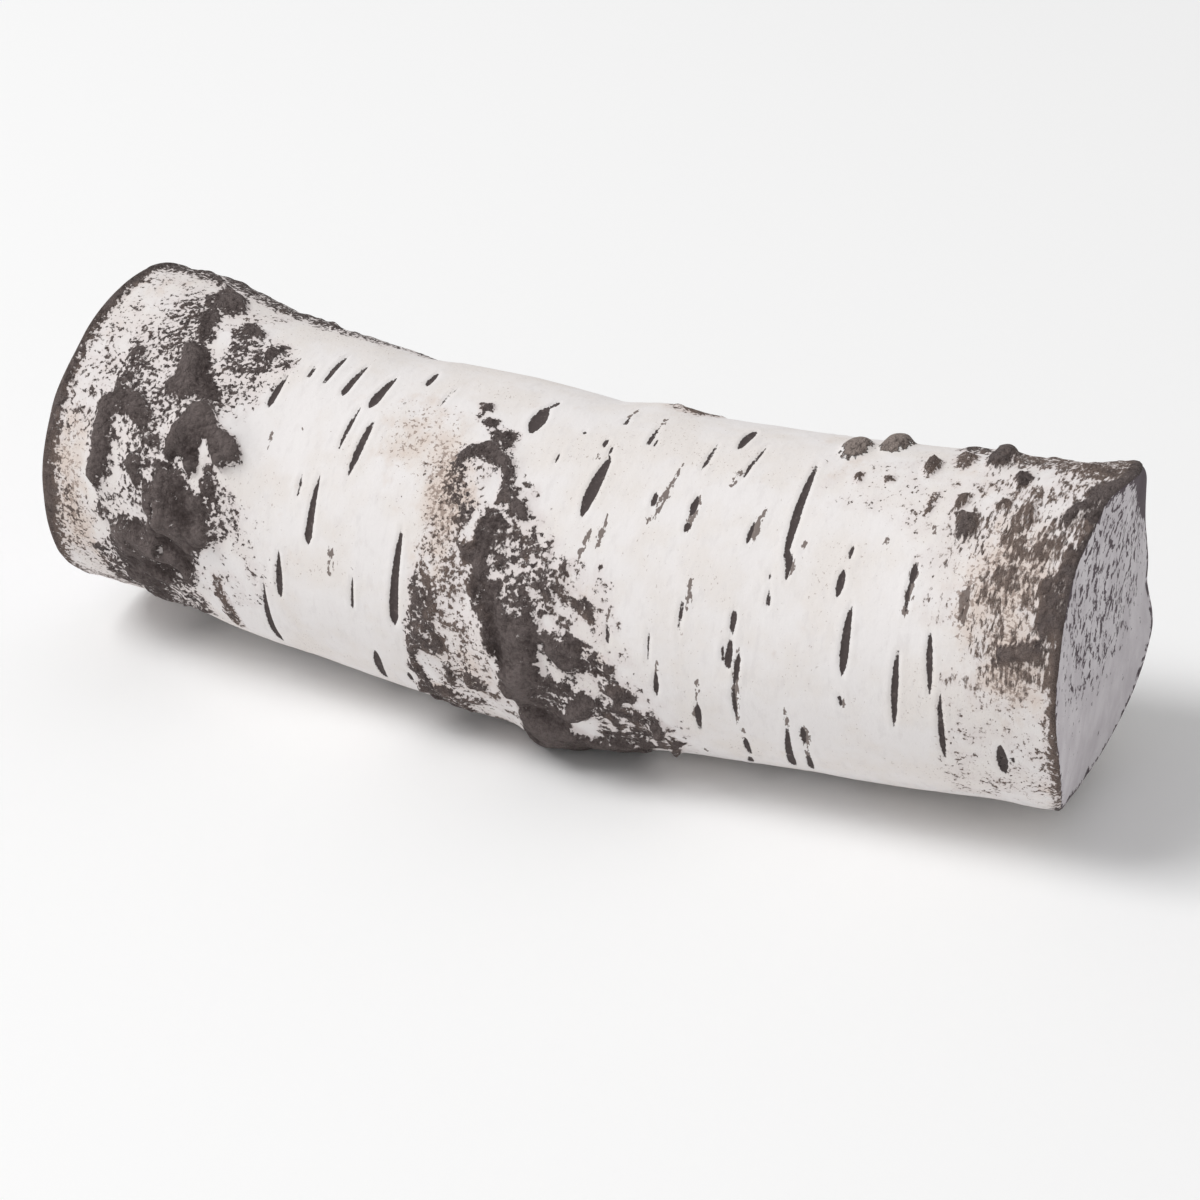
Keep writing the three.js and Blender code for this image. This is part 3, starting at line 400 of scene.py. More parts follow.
# Lenticels that are only a broken, brownish scratch, in the same terms
SCRATCHES = (
    (-71.3, 99, -71.6, 105.5, 0.6, 0.4), (-68.7, 131, -68.4, 138, 0.8, 0.4),
    (-61.3, 126, -61.3, 129, 0.8, 0.5), (-47.6, 162, -47.6, 174, 0.8, 0.6),
    (-46.7, 163, -46.7, 174, 0.8, 0.4), (-41.2, 168, -41.2, 170, 0.7, 0.5), (10.7, 79, 10.7, 88, 0.7, 0.8),
    (19.0, 80, 19.0, 90, 0.8, 0.7), (10.0, 108, 10.1, 112.5, 0.6, 0.5), (14.6, 137, 13.6, 150, 1.5, 0.4),
    (17.7, 131, 17.2, 144, 1.7, 0.6), (29.6, 107, 29.3, 116, 0.8, 0.4), (29.3, 115.5, 28.5, 131, 1.7, 0.3),
    (27.4, 127, 27.3, 132, 0.8, 0.5), (43.2, 105, 42.5, 114, 1.3, 0.75), (36.8, 118, 36.8, 134, 1.6, 0.5),
    (52.4, 118, 52.3, 123, 0.9, 0.5), (51.7, 123, 52.0, 134, 2.2, 0.4), (63.7, 130, 63.3, 132.5, 0.8, 0.5),
    (62.4, 135, 62.4, 144, 1.3, 0.4), (40.7, 147, 40.8, 159, 1.3, 0.4), (22.5, 160, 22.9, 168, 0.9, 0.5),
    (34.9, 173, 35.0, 183, 0.7, 0.6), (44.8, 180, 44.6, 192, 0.7, 0.4), (44.2, 192, 44.2, 200, 2.2, 0.5),
    (54.2, 168, 53.6, 200, 1.6, 0.3), (54.4, 199, 54.5, 207, 0.9, 0.6), (65.3, 186, 65.7, 196, 0.8, 0.6),
    (69.4, 193, 69.5, 206, 2.0, 0.4), (69.2, 203, 69.0, 214, 1.2, 0.6), (89.6, 132, 89.8, 152, 2.0, 0.3),
    (78.2, 176, 78.7, 185, 0.9, 0.6), (91.0, 118, 91.2, 124, 1.2, 0.5),
    (81.5, 124.5, 81.5, 128.5, 1.6, 0.5), (102.3, 139, 102.6, 152, 2.6, 0.4),
    (94.8, 143, 94.9, 145.5, 1.2, 0.5), (43.6, 218, 43.4, 226, 0.9, 0.5),
)

# Warm, tan haze on the white bark: x, angle, spread along, spread round, strength
HAZE = (
    (-120, 165, 5, 22, 0.8),
    (-118, 195, 6, 14, 0.5),
    (-116, 90, 9, 14, 0.4),
    (-20, 152, 6, 14, 0.7),
    (-18, 135, 6, 8, 0.5),
    (-34, 117, 10, 13, 0.75),
    (-24, 130, 4, 12, 0.6),
    (-12, 198, 7, 9, 0.7),
    (-22, 214, 4, 4, 0.8),
    (-78, 212, 3, 6, 0.6),
    (16, 160, 6, 5, 0.4),
    (20, 180, 4, 3, 0.6),
    (112, 140, 10, 20, 0.8),
    (116, 168, 8, 10, 0.7),
    (102, 148, 3, 6, 0.5),
    (104, 128, 8, 12, 0.4),
    (122, 214, 4, 8, 0.6),
    (90, 90, 12, 9, 0.35),
    (66, 98, 5, 7, 0.4),
    (20, 66, 7, 8, 0.6),
    (57, 78, 4, 6, 0.3),
    (56, 346, 14, 14, 0.5),
    (-30, 22, 12, 14, 0.5),
    (14, 286, 12, 10, 0.5),
    (114, 20, 10, 22, 0.5),
    (114, 310, 10, 22, 0.5),
    (-118, 320, 8, 30, 0.5),
)

# Knots: two raised brown buds of wood on the top, with painted shade to the right: x, angle, half width, half
# length
KNOTS = (
    (64.5, 83.5, 3.1, 6.2),
    (71.6, 73.0, 3.2, 8.2),
)

# Lenticels drawn at random on the sides that the photo doesn't show: how many, the seed of their draws, and
# the lowest value and the span of each one's x, angle, length in degrees, width and widest place. Two of
# them lie at least so many mm or degrees apart, and all lie where the crust is below this level
HIDDEN_SLITS = 40
SLIT_SEED = 20
HIDDEN_RANGES = ((-92, 196), (238, 160), (9, 21), (1.0, 1.1), (0.35, 0.5))
HIDDEN_APART = 5
HIDDEN_ANGLE_APART = 35
BARE_LEVEL = -2.0

# Level of the crust and of the knots where there is none, and of the slits far from them
ABSENT = -4.0
NO_SLIT = -3.0
# Highest level of the dark bands along the rims, and the mm over which it falls by 1
BAND_LEVEL = 2.6
BAND_FADE = 1.1
# Islands: the crust's level on their outline, the mm over which it falls by 1, and how many mm outside the
# outline that begins
ISLAND_LEVEL = 0.6
ISLAND_FADE = 0.35
ISLAND_REACH = 0.6
# How far the crust's outlines wander to and fro, in mm, and the islands' as a share of that
WANDER = 0.9
ISLAND_WANDER = 0.6
# Where the crust's lumps are calmer, so that the log's outline stays even: angle, spread, share taken off
CALM = (
    (54, 14, 0.65),
    (238, 10, 0.55),
)
# The dark flecks of a saw cut: half width and half height of the oval where they lie thickest, how far it
# sits above the middle of the cut, all in mm, and their level inside it
FLECK_OVAL = (34, 25)
FLECK_OVAL_UP = 14
FLECK_LEVEL = -0.55

# The stage in metres: the floor lies this far below the log, so that the two don't touch, and the key
# light stands at this place, with this side, and points at the log
FLOOR_GAP = 0.2 * MM
KEY_PLACE = (-1.6, -1.1, 2.75)
KEY_AIM = (0, 0, 0.04)
KEY_SIZE = 1.5
# Middle of the log, and how far to the right of it and below it the camera looks, in mm
LOG_MIDDLE = (0.70, -0.72, 41.4)
AIM_RIGHT = 2.8
AIM_DOWN = 12.7

# Noises of the bark and of the saw cuts: grain in mm, detail, how many times finer along x, y and z, shift.
# The finest are as coarse as they need to be to show in the picture
BARK_GRAINS = {
    "clouds": (16.0, 3.0, (1, 1, 1), 3.0),
    "layers": (5.0, 3.0, (2.6, 1, 1), 7.0),
    "dust": (0.8, 3.0, (1.5, 1, 1), 33.0),
    "haze": (6.0, 3.0, (1.4, 1, 1), 5.0),
    "stipple": (0.9, 3.0, (1, 1, 1), 27.0),
    "lace": (1.1, 4.0, (1.1, 1, 1), 1.0),
    "streaks": (2.2, 5.0, (3, 1, 1), 23.0),
    "tones": (1.3, 5.0, (1, 1, 1), 9.0),
    "brown": (3.0, 3.0, (1, 1, 1), 13.0),
    "knot": (1.8, 3.0, (1.5, 1, 1), 2.0),
    "knot_rings": (1.6, 3.0, (3, 1, 1), 4.0),
    "slits": (0.9, 3.0, (1, 1, 1), 6.0),
    "scratches": (1.3, 2.0, (1.6, 0.7, 0.7), 0.0),
    "cork": (1.5, 5.0, (1, 1, 1), 15.0),
    "lumps": (4.0, 2.0, (1, 1, 1), 41.0),
    "skin": (1.6, 4.0, (1.3, 1, 1), 19.0),
}
BARK_FIELDS = (
    "crust", "warmth", "relief", "slits", "scratches", "haze", "knots", "knot_shade_side", "streaky", "lace",
    "lobes",
)
CUT_GRAINS = {
    "clouds": (9.0, 3.0, (1, 1, 0.67), 4.0),
    "flecks": (1.8, 3.0, (1, 1, 0.83), 8.0),
    "rough": (1.0, 4.0, (1, 1, 0.62), 1.0),
}
LOBE_SIZE = 2.3

# Settings that many nodes share
SMOOTH = {"interpolation_type": "SMOOTHSTEP"}
COLOUR = {"data_type": "RGBA"}
NUMBER = {"data_type": "FLOAT"}
PLUS = {"operation": "ADD"}
MINUS = {"operation": "SUBTRACT"}
TIMES = {"operation": "MULTIPLY"}
TIMES_PLUS = {"operation": "MULTIPLY_ADD"}
LEAST = {"operation": "MINIMUM"}
MOST = {"operation": "MAXIMUM"}


def draws(seed):
    """Numbers from 0 to 1 without end, the same on every run: each state is the last one times 16807."""
    state = seed
    largest = 2**31 - 1
    while True:
        state = (state * 16807) % largest
        yield state / largest


def linear(colour):
    """Linear red, green, blue and 1 of an sRGB hex colour: c / 12.92 below 0.04, else a power of 2.4."""
    parts = [int(colour[i : i + 2], 16) / 255 for i in (1, 3, 5)]
    return (*[c / 12.92 if c <= 0.04045 else ((c + 0.055) / 1.055) ** 2.4 for c in parts], 1.0)


def ease(low, high, value):
    """0 below low, 1 above high, and 3t^2 - 2t^3 between them."""
    t = np.clip((value - low) / (high - low), 0, 1)
    return t * t * (3 - 2 * t)


def wrap(angle):
    """The same angle from -180 to 180 degrees."""
    return (angle + 180) % 360 - 180


def corner_value(i, j, k):
    """A fixed number from 0 to 1 for each whole-number point: the fraction of a large sine."""
    s = np.sin(i * 127.1 + j * 311.7 + k * 74.7) * 43758.5453
    return s - np.floor(s)


def noise(x, y, z):
    """Value noise from 0 to 1: the corner values of the cell round a point, eased between them."""
    i, j, k = np.floor(x), np.floor(y), np.floor(z)
    u, v, w = (ease(0, 1, t) for t in (x - i, y - j, z - k))
    total = 0
    for di, wi in ((0, 1 - u), (1, u)):
        for dj, wj in ((0, 1 - v), (1, v)):
            for dk, wk in ((0, 1 - w), (1, w)):
                total = total + corner_value(i + di, j + dj, k + dk) * wi * wj * wk
    return total


class Bark:
    """Places on the bark as arrays: x along the log in mm, the angle round it in degrees, and the radius."""

    def __init__(self, x, angle, radius):
        self.x, self.angle, self.radius = x, angle, radius
        self.y = radius * np.cos(angle * DEGREE)
        self.z = radius * np.sin(angle * DEGREE)

    def grain(self, size, shift=0.0, across=1.0):
        """Noise from -1 to 1 with grains of size mm, across times as fine along the log as round it."""
        return 2 * noise(self.x * across / size + shift, self.y / size + shift, self.z / size) - 1

    def arc(self, angle):
        """Distance round the bark from an angle, in mm."""
        return wrap(self.angle - angle) * DEGREE * self.radius

    def spread(self, x, angle, along, around):
        """Squared distance from a patch, in units of the patch's own spread."""
        return ((self.x - x) / along) ** 2 + (self.arc(angle) / around) ** 2


def inside_by(bark, corners, shift_x=0.0, shift_arc=0.0):
    """How far inside an outline each place lies, in mm, and minus how far outside: the least distance to
    its sides, with the sign from how many sides a line to one side crosses."""
    corners = np.array(corners, float)
    middle = corners[:, 1].mean()
    px = bark.x + shift_x
    py = bark.arc(middle) + shift_arc
    ring = np.stack([corners[:, 0], (corners[:, 1] - middle) * DEGREE * bark.radius], 1)
    nearest = np.full(px.shape, np.inf)
    inside = np.zeros(px.shape, bool)
    for (ax, ay), (bx, by) in zip(ring, np.roll(ring, -1, 0)):
        ex, ey = bx - ax, by - ay
        part = np.clip(((px - ax) * ex + (py - ay) * ey) / (ex * ex + ey * ey), 0, 1)
        nearest = np.minimum(nearest, np.hypot(px - ax - part * ex, py - ay - part * ey))
        if ey:
            crosses = ((ay > py) != (by > py)) & (px < ax + (py - ay) * ex / ey)
            inside ^= crosses
    return np.where(inside, nearest, -nearest)


def coarseness(x):
    """How much coarser the crust breaks up to the right of the log's middle, from 0 to 1."""
    return ease(-14, -4, x) * ease(-76, -50, -x)


def crust_field(bark):
    """Level of the crust and its warmth. For each outline the level is the outline's own inside it, and
    falls evenly with the distance from its edge. The most of these counts at each place, and the dark
    bands along the rims. Bare islands lower it, and a grain of 5 and one of 2.4 mm are added. The warmth
    is that of the outlines, by how far each one's level reaches there."""
    shift_x = WANDER * bark.grain(4.0, 11.3)
    shift_arc = WANDER * bark.grain(4.0, 47.9)
    level = np.full(bark.x.shape, ABSENT)
    warmth = np.zeros(bark.x.shape)
    weight = np.full(bark.x.shape, 1e-6)
    for inner, fade, warm, corners in OUTLINES:
        depth = inside_by(bark, corners, shift_x, shift_arc)
        found = np.minimum(inner, min(inner, 0.0) + depth / fade)
        share = ease(-3.0, 1.0, found)
        warmth += warm * share
        weight += share
        level = np.maximum(level, found)
    for band, from_rim in ((LEFT_BAND, bark.x - LEFT_CUT), (RIGHT_BAND, RIGHT_CUT - bark.x)):
        edge = around(band, bark.angle) - from_rim
        level = np.maximum(level, np.minimum(edge / BAND_FADE, BAND_LEVEL))
    for lowest, corners in ISLANDS:
        depth = inside_by(bark, corners, ISLAND_WANDER * shift_x, ISLAND_WANDER * shift_arc)
        bare = np.maximum(ISLAND_LEVEL - depth / ISLAND_FADE, lowest)
        level = np.minimum(level, np.where(depth > -ISLAND_REACH, bare, np.inf))
    level += 0.5 * bark.grain(5.0, 3.7) + (0.9 + 0.2 * coarseness(bark.x)) * bark.grain(2.4, 8.1, 1.1)
    return level, warmth / weight


def from_line(bark, line):
    """Distance from a line on the bark, in mm, from its two ends' x and angle."""
    x0, angle0, x1, angle1 = line
    ex, ey = x1 - x0, (angle1 - angle0) * DEGREE * bark.radius
    dx, dy = bark.x - x0, bark.arc(angle0)
    part = np.clip((dx * ex + dy * ey) / (ex * ex + ey * ey), 0, 1)
    return np.hypot(dx - part * ex, dy - part * ey)


def slit_field(bark, slits):
    """How far inside the nearest slit each place lies, in mm: the half width there less the distance from
    the slit's middle line. The half width swells as a sine from each tip to the widest place."""
    field = np.full(bark.x.shape, NO_SLIT)
    for x0, angle0, x1, angle1, width, belly in slits:
        part = bark.arc(angle0) / ((angle1 - angle0) * DEGREE * bark.radius)
        near = np.abs(part - 0.5) < 0.5
        t = np.clip(part, 0, 1)
        swell = np.where(t < belly, t / belly, (1 - t) / (1 - belly))
        half = width / 2 * np.sin(np.pi / 2 * np.clip(swell, 0, 1)) ** 0.65
        offset = np.abs(bark.x - (x0 + (x1 - x0) * t))
        beyond = np.abs(t - part) * (angle1 - angle0) * DEGREE * bark.radius
        field = np.maximum(field, np.where(near, half - offset, -np.hypot(offset, beyond)))
    return field


def hidden_slits(radius):
    """Lenticels for the sides that the front ones don't reach, drawn at random clear of each other and of
    the crust."""
    draw = draws(SLIT_SEED)
    slits = []
    while len(slits) < HIDDEN_SLITS:
        x, angle, length, width, belly = (low + span * next(draw) for low, span in HIDDEN_RANGES)
        clear = all(abs(x - s[0]) > HIDDEN_APART or abs(angle - s[1]) > HIDDEN_ANGLE_APART for s in slits)
        place = Bark(np.array([x]), np.array([angle + length / 2]), radius)
        if clear and crust_field(place)[0][0] < BARE_LEVEL:
            slits.append((x, angle, x, angle + length, width, belly))
    return tuple(slits)


def around(table, angle):
    """Smooth curve round the log through a table of angles and values, eased between neighbours."""
    angles = np.array([row[0] for row in table], float)
    values = np.array([row[1] for row in table], float)
    angles = np.concatenate([[angles[-1] - 360], angles, [angles[0] + 360]])
    values = np.concatenate([[values[-1]], values, [values[0]]])
    a = angle % 360
    after = np.searchsorted(angles, a, side="right")
    low, high = angles[after - 1], angles[after]
    return values[after - 1] + (values[after] - values[after - 1]) * ease(0, 1, (a - low) / (high - low))


def trunk_point(x, angle, radius):
    """Point in mm at a place and a radius: x moves with the uneven rims near them, the middle line bends
    back and up with the square of x, and nothing reaches below the flat that the log lies on or past its
    box."""
    left = around(LEFT_RIM, angle) * ease(-LEFT_CUT - RIM_REACH, -LEFT_CUT, -x)
    right = around(RIGHT_RIM, angle) * ease(RIGHT_CUT - RIM_REACH, RIGHT_CUT, x)
    bend = (x / BOW_REACH) ** 2
    box_middle_x = (LEFT_CUT + RIGHT_CUT + min(v for _, v in LEFT_RIM) + max(v for _, v in RIGHT_RIM)) / 2
    px = x + left + right - box_middle_x
    py = BOW_BACK * bend + radius * np.cos(angle * DEGREE) - BOX_MIDDLE_Y
    pz = MIDDLE_HEIGHT + BOW_UP * bend + radius * np.sin(angle * DEGREE)
    return np.stack([px, np.clip(py, -BOX_HALF_WIDTH, BOX_HALF_WIDTH), np.clip(pz, 0, BOX_HEIGHT)], -1)


def bark_surface(size):
    """The bark on a grid of places: its points, and what its colours are made from.

    The radius is the trunk's, with each swelling as a bell curve and each burl as a flatter one. The crust
    is raised with ridges and lumps of its own, the slits are sunk by one depth, and the rims are worn
    round."""
    radius = size.radius / MM
    x, angle = np.meshgrid(
        np.linspace(LEFT_CUT, RIGHT_CUT, size.steps_along + 1),
        np.arange(size.steps_round) * 360 / size.steps_round,
        indexing="ij",
    )
    bark = Bark(x, angle, radius)
    crust, warmth = crust_field(bark)
    slits = slit_field(bark, SLITS + hidden_slits(radius))
    scratches = slit_field(bark, SCRATCHES)

    r = radius + 0.25 * bark.grain(11.0)
    for cx, ca, along, around_, height in SWELLINGS:
        r += height * np.exp(-bark.spread(cx, ca, along, around_))
    for cx, ca, along, around_, height in BURLS:
        r += height * np.exp(-bark.spread(cx, ca, along, around_) ** 2)
    thick = ease(-0.6, 2.0, crust)
    ridges = np.zeros(x.shape)
    for *line, half_width, height in RIDGES:
        ridges += height * thick * np.exp(-((from_line(bark, line) / half_width) ** 2))
    lumps = 0.5 + 0.8 * bark.grain(4.8, 21.0) + 0.35 * bark.grain(2.6, 5.0) + 0.08 * bark.grain(1.6, 9.0)
    from_rim = np.minimum(x - LEFT_CUT, RIGHT_CUT - x)
    calm = 1
    for calm_angle, around_, share in CALM:
        calm = calm - share * np.exp(-((bark.arc(calm_angle) / around_) ** 2))
    r += ridges + size.crust_height / MM * thick * (0.4 + (lumps - 0.4) * calm * ease(1.0, 7.0, from_rim))
    r += 0.07 * bark.grain(5.0, 31.0) + 0.04 * bark.grain(2.2, 17.0)
    r -= size.slit_depth / MM * ease(-0.3, 0.5, slits)
    r += 0.12 * np.exp(-(((slits + 0.9) / 0.5) ** 2))

    worn = np.clip(1 - from_rim / RIM_BAND, 0, 1)
    r -= size.rim_wear / MM * (1 - np.sqrt(1 - worn**2))

    haze = sum(s * np.exp(-bark.spread(hx, ha, along, a)) for hx, ha, along, a, s in HAZE)
    knots = np.full(x.shape, ABSENT)
    side = np.zeros(x.shape)
    for kx, ka, half_width, half_length in KNOTS:
        reach = np.sqrt(bark.spread(kx, ka, half_width, half_length))
        knots = np.maximum(knots, (1 - reach) * half_width)
        # How far right of each knot's middle a place lies, which paints shade on the knot's right side
        side += (x - kx) / half_width * np.exp(-(reach**2))
    fields = {
        "crust": crust,
        "warmth": warmth,
        # The crust's height, which the bark's colour uses to paint shade in its hollows and a highlight on
        # its tops
        "relief": ridges + 1.2 * thick * (lumps - 0.5),
        "slits": slits,
        "scratches": scratches,
        "haze": haze,
        "knots": knots,
        "knot_shade_side": side,
        "streaky": ease(84, 104, x) * (1 - ease(164, 182, angle)),
        "lace": 10.0 - 2.5 * coarseness(x),
        "lobes": 2.8 * coarseness(x),
    }
    return trunk_point(x, angle, r), fields


def face_shares(count):
    """How far the rings of a saw cut lie from its middle, as a share of the way to its rim, closer
    together near the rim."""
    part = np.arange(1, count) / count
    return 1 - (0.35 * part + 0.65 * part**2)


def face_rings(rim, count):
    """Rings of points from a rim to the middle of its saw cut, without the rim: each ring is the rim drawn
    in to the middle, with the rim's own unevenness fading as the cube of the distance."""
    middle = rim.mean(0)
    share = face_shares(count)[:, None, None]
    rings = middle + (rim - middle) * share
    rings[..., 0] = middle[0] + (rim[:, 0] - middle[0]) * share[..., 0] ** 3
    rings[..., 0] += 0.25 * (2 * noise(rings[..., 1] / 7, rings[..., 2] / 7, rings[..., 0] * 0) - 1)
    return rings.reshape(-1, 3), middle


def fleck_level(rings, middle, rim, shares, bark_table, angle):
    """How thickly the dark flecks lie on a saw cut, in steps of their noise: most inside an oval in its
    upper part, and least well outside it. The bark that shows round the cut is all dark."""
    wide, high = FLECK_OVAL
    oval = np.hypot((rings[:, 1] - middle[1]) / wide, (rings[:, 2] - middle[2] - FLECK_OVAL_UP) / high)
    level = FLECK_LEVEL - 1.6 * ease(0.75, 1.5, oval)
    reach = np.hypot(rim[:, 1] - middle[1], rim[:, 2] - middle[2])
    depth = ((1 - shares)[:, None] * reach[None, :]).ravel()
    thickness = np.tile(around(bark_table, angle), len(shares))
    return np.append(np.maximum(level, np.minimum((thickness - depth) / 0.5, 3.0)), FLECK_LEVEL)


def grid_faces(rows, columns):
    """Quads between the rows of a grid of points whose columns close round."""
    i, j = np.meshgrid(np.arange(rows - 1), np.arange(columns), indexing="ij")
    a = i * columns + j
    b = i * columns + (j + 1) % columns
    return np.stack([a, b, b + columns, a + columns], -1).reshape(-1, 4)


def make_log_mesh(name, size):
    """One closed mesh: the bark's grid, and at each end the rings of a saw cut and a fan to its middle."""
    points, fields = bark_surface(size)
    rows, columns = points.shape[:2]
    vertices = [points.reshape(-1, 3)]
    quads = [grid_faces(rows, columns)]
    triangles = []
    flecks = [np.full(rows * columns, 1.0)]
    next_vertex = rows * columns
    angle = np.arange(columns) * 360 / columns
    shares = face_shares(size.face_rings)
    for rim_row, turned, bark_table in ((0, True, LEFT_BARK), (rows - 1, False, RIGHT_BARK)):
        rim = points[rim_row]
        rings, middle = face_rings(rim, size.face_rings)
        flecks.append(fleck_level(rings, middle, rim, shares, bark_table, angle))
        ring_count = size.face_rings - 1
        rim_vertices = rim_row * columns + np.arange(columns)
        inner = next_vertex + np.arange(ring_count * columns)
        index = np.concatenate([rim_vertices, inner])
        face = index[grid_faces(ring_count + 1, columns)]
        middle_vertex = next_vertex + ring_count * columns
        last = index[-columns:]
        fan = np.stack([last, np.roll(last, -1), np.full(columns, middle_vertex)], -1)
        quads.append(face[:, ::-1] if turned else face)
        triangles.append(fan[:, ::-1] if turned else fan)
        vertices += [rings, middle[None]]
        next_vertex = middle_vertex + 1

    vertices = np.concatenate(vertices) * MM
    quads, triangles = np.concatenate(quads), np.concatenate(triangles)
    mesh = bpy.data.meshes.new(name)
    mesh.vertices.add(len(vertices))
    mesh.vertices.foreach_set("co", vertices.ravel())
    corners = np.concatenate([quads.ravel(), triangles.ravel()])
    starts = np.concatenate([np.arange(len(quads)) * 4, quads.size + np.arange(len(triangles)) * 3])
    mesh.loops.add(len(corners))
    mesh.loops.foreach_set("vertex_index", corners)
    mesh.polygons.add(len(starts))
    mesh.polygons.foreach_set("loop_start", starts)
    mesh.polygons.foreach_set("use_smooth", np.ones(len(starts), bool))
    bark_faces = (rows - 1) * columns
    mesh.polygons.foreach_set("material_index", (np.arange(len(starts)) >= bark_faces).astype(np.int32))
    mesh.update(calc_edges=True)
    on_cuts = np.zeros(len(vertices) - rows * columns)
    attributes = {field: np.concatenate([values.ravel(), on_cuts]) for field, values in fields.items()}
    attributes["flecks"] = np.concatenate(flecks)
    for attribute, values in attributes.items():
        mesh.attributes.new(attribute, "FLOAT", "POINT").data.foreach_set("value", values)
    return mesh


def add_node(tree, kind, settings, **inputs):
    """Adds a node with its settings and links. An input is a value, a node's output or a node, which
    stands for its first output. It goes by the input's name with underscores for spaces, or by in_ and
    its number."""
    node = tree.nodes.new(kind)
    for key, value in settings.items():
        setattr(node, key, value)
    for key, value in inputs.items():
        socket = node.inputs[int(key[3:])] if key.startswith("in_") else node.inputs[key.replace("_", " ")]
        if isinstance(value, bpy.types.Node):
            value = value.outputs[0]
        if isinstance(value, bpy.types.NodeSocket):
            tree.links.new(value, socket)
        else:
            socket.default_value = value
    return node


def new_material(name):
    """An empty material with a matt shader on its output, and its tree and shader."""
    material = bpy.data.materials.new(name)
    material.use_nodes = True
    tree = material.node_tree
    tree.nodes.clear()
    shader = add_node(tree, "ShaderNodeBsdfPrincipled", {})
    add_node(tree, "ShaderNodeOutputMaterial", {"is_active_output": True}, Surface=shader)
    return material, tree, shader


def finish_surface(tree, shader, colour, roughness, height, depth):
    """Gives a shader its colour, its roughness, little shine, and a relief of heights in units of depth."""
    bump = add_node(tree, "ShaderNodeBump", {}, Strength=1.0, Distance=depth, Height=height)
    tree.links.new(colour, shader.inputs["Base Color"])
    tree.links.new(bump.outputs[0], shader.inputs["Normal"])
    shader.inputs["Roughness"].default_value = roughness
    shader.inputs["Specular IOR Level"].default_value = 0.25


def add_grains(tree, grains):
    """The place on the object, and noises from 0 to 1 about 0.5 by name, from a table of each one's grain
    in mm, its detail, how many times finer it is along x, y and z, and its shift."""
    place = add_node(tree, "ShaderNodeTexCoord", {}).outputs["Object"]
    found = {}
    for name, (size, detail, finer, shift) in grains.items():
        scale = [times / (size * MM) for times in finer]
        mapped = add_node(tree, "ShaderNodeMapping", {}, Vector=place, Scale=scale, Location=[shift] * 3)
        found[name] = add_node(
            tree, "ShaderNodeTexNoise", {}, Vector=mapped, Scale=1.0, Detail=detail, Roughness=0.6
        )
    return place, found


def add_layers(tree, colour, layers):
    """Colour layers over a first colour. Each layer covers by a value: not at all below low, up to its
    strength above high."""
    for value, low, high, strength, over in layers:
        share = add_node(
            tree, "ShaderNodeMapRange", SMOOTH, Value=value, From_Min=low, From_Max=high, To_Max=strength
        )
        colour = add_node(tree, "ShaderNodeMix", COLOUR, in_0=share, in_6=colour, in_7=over).outputs[2]
    return colour


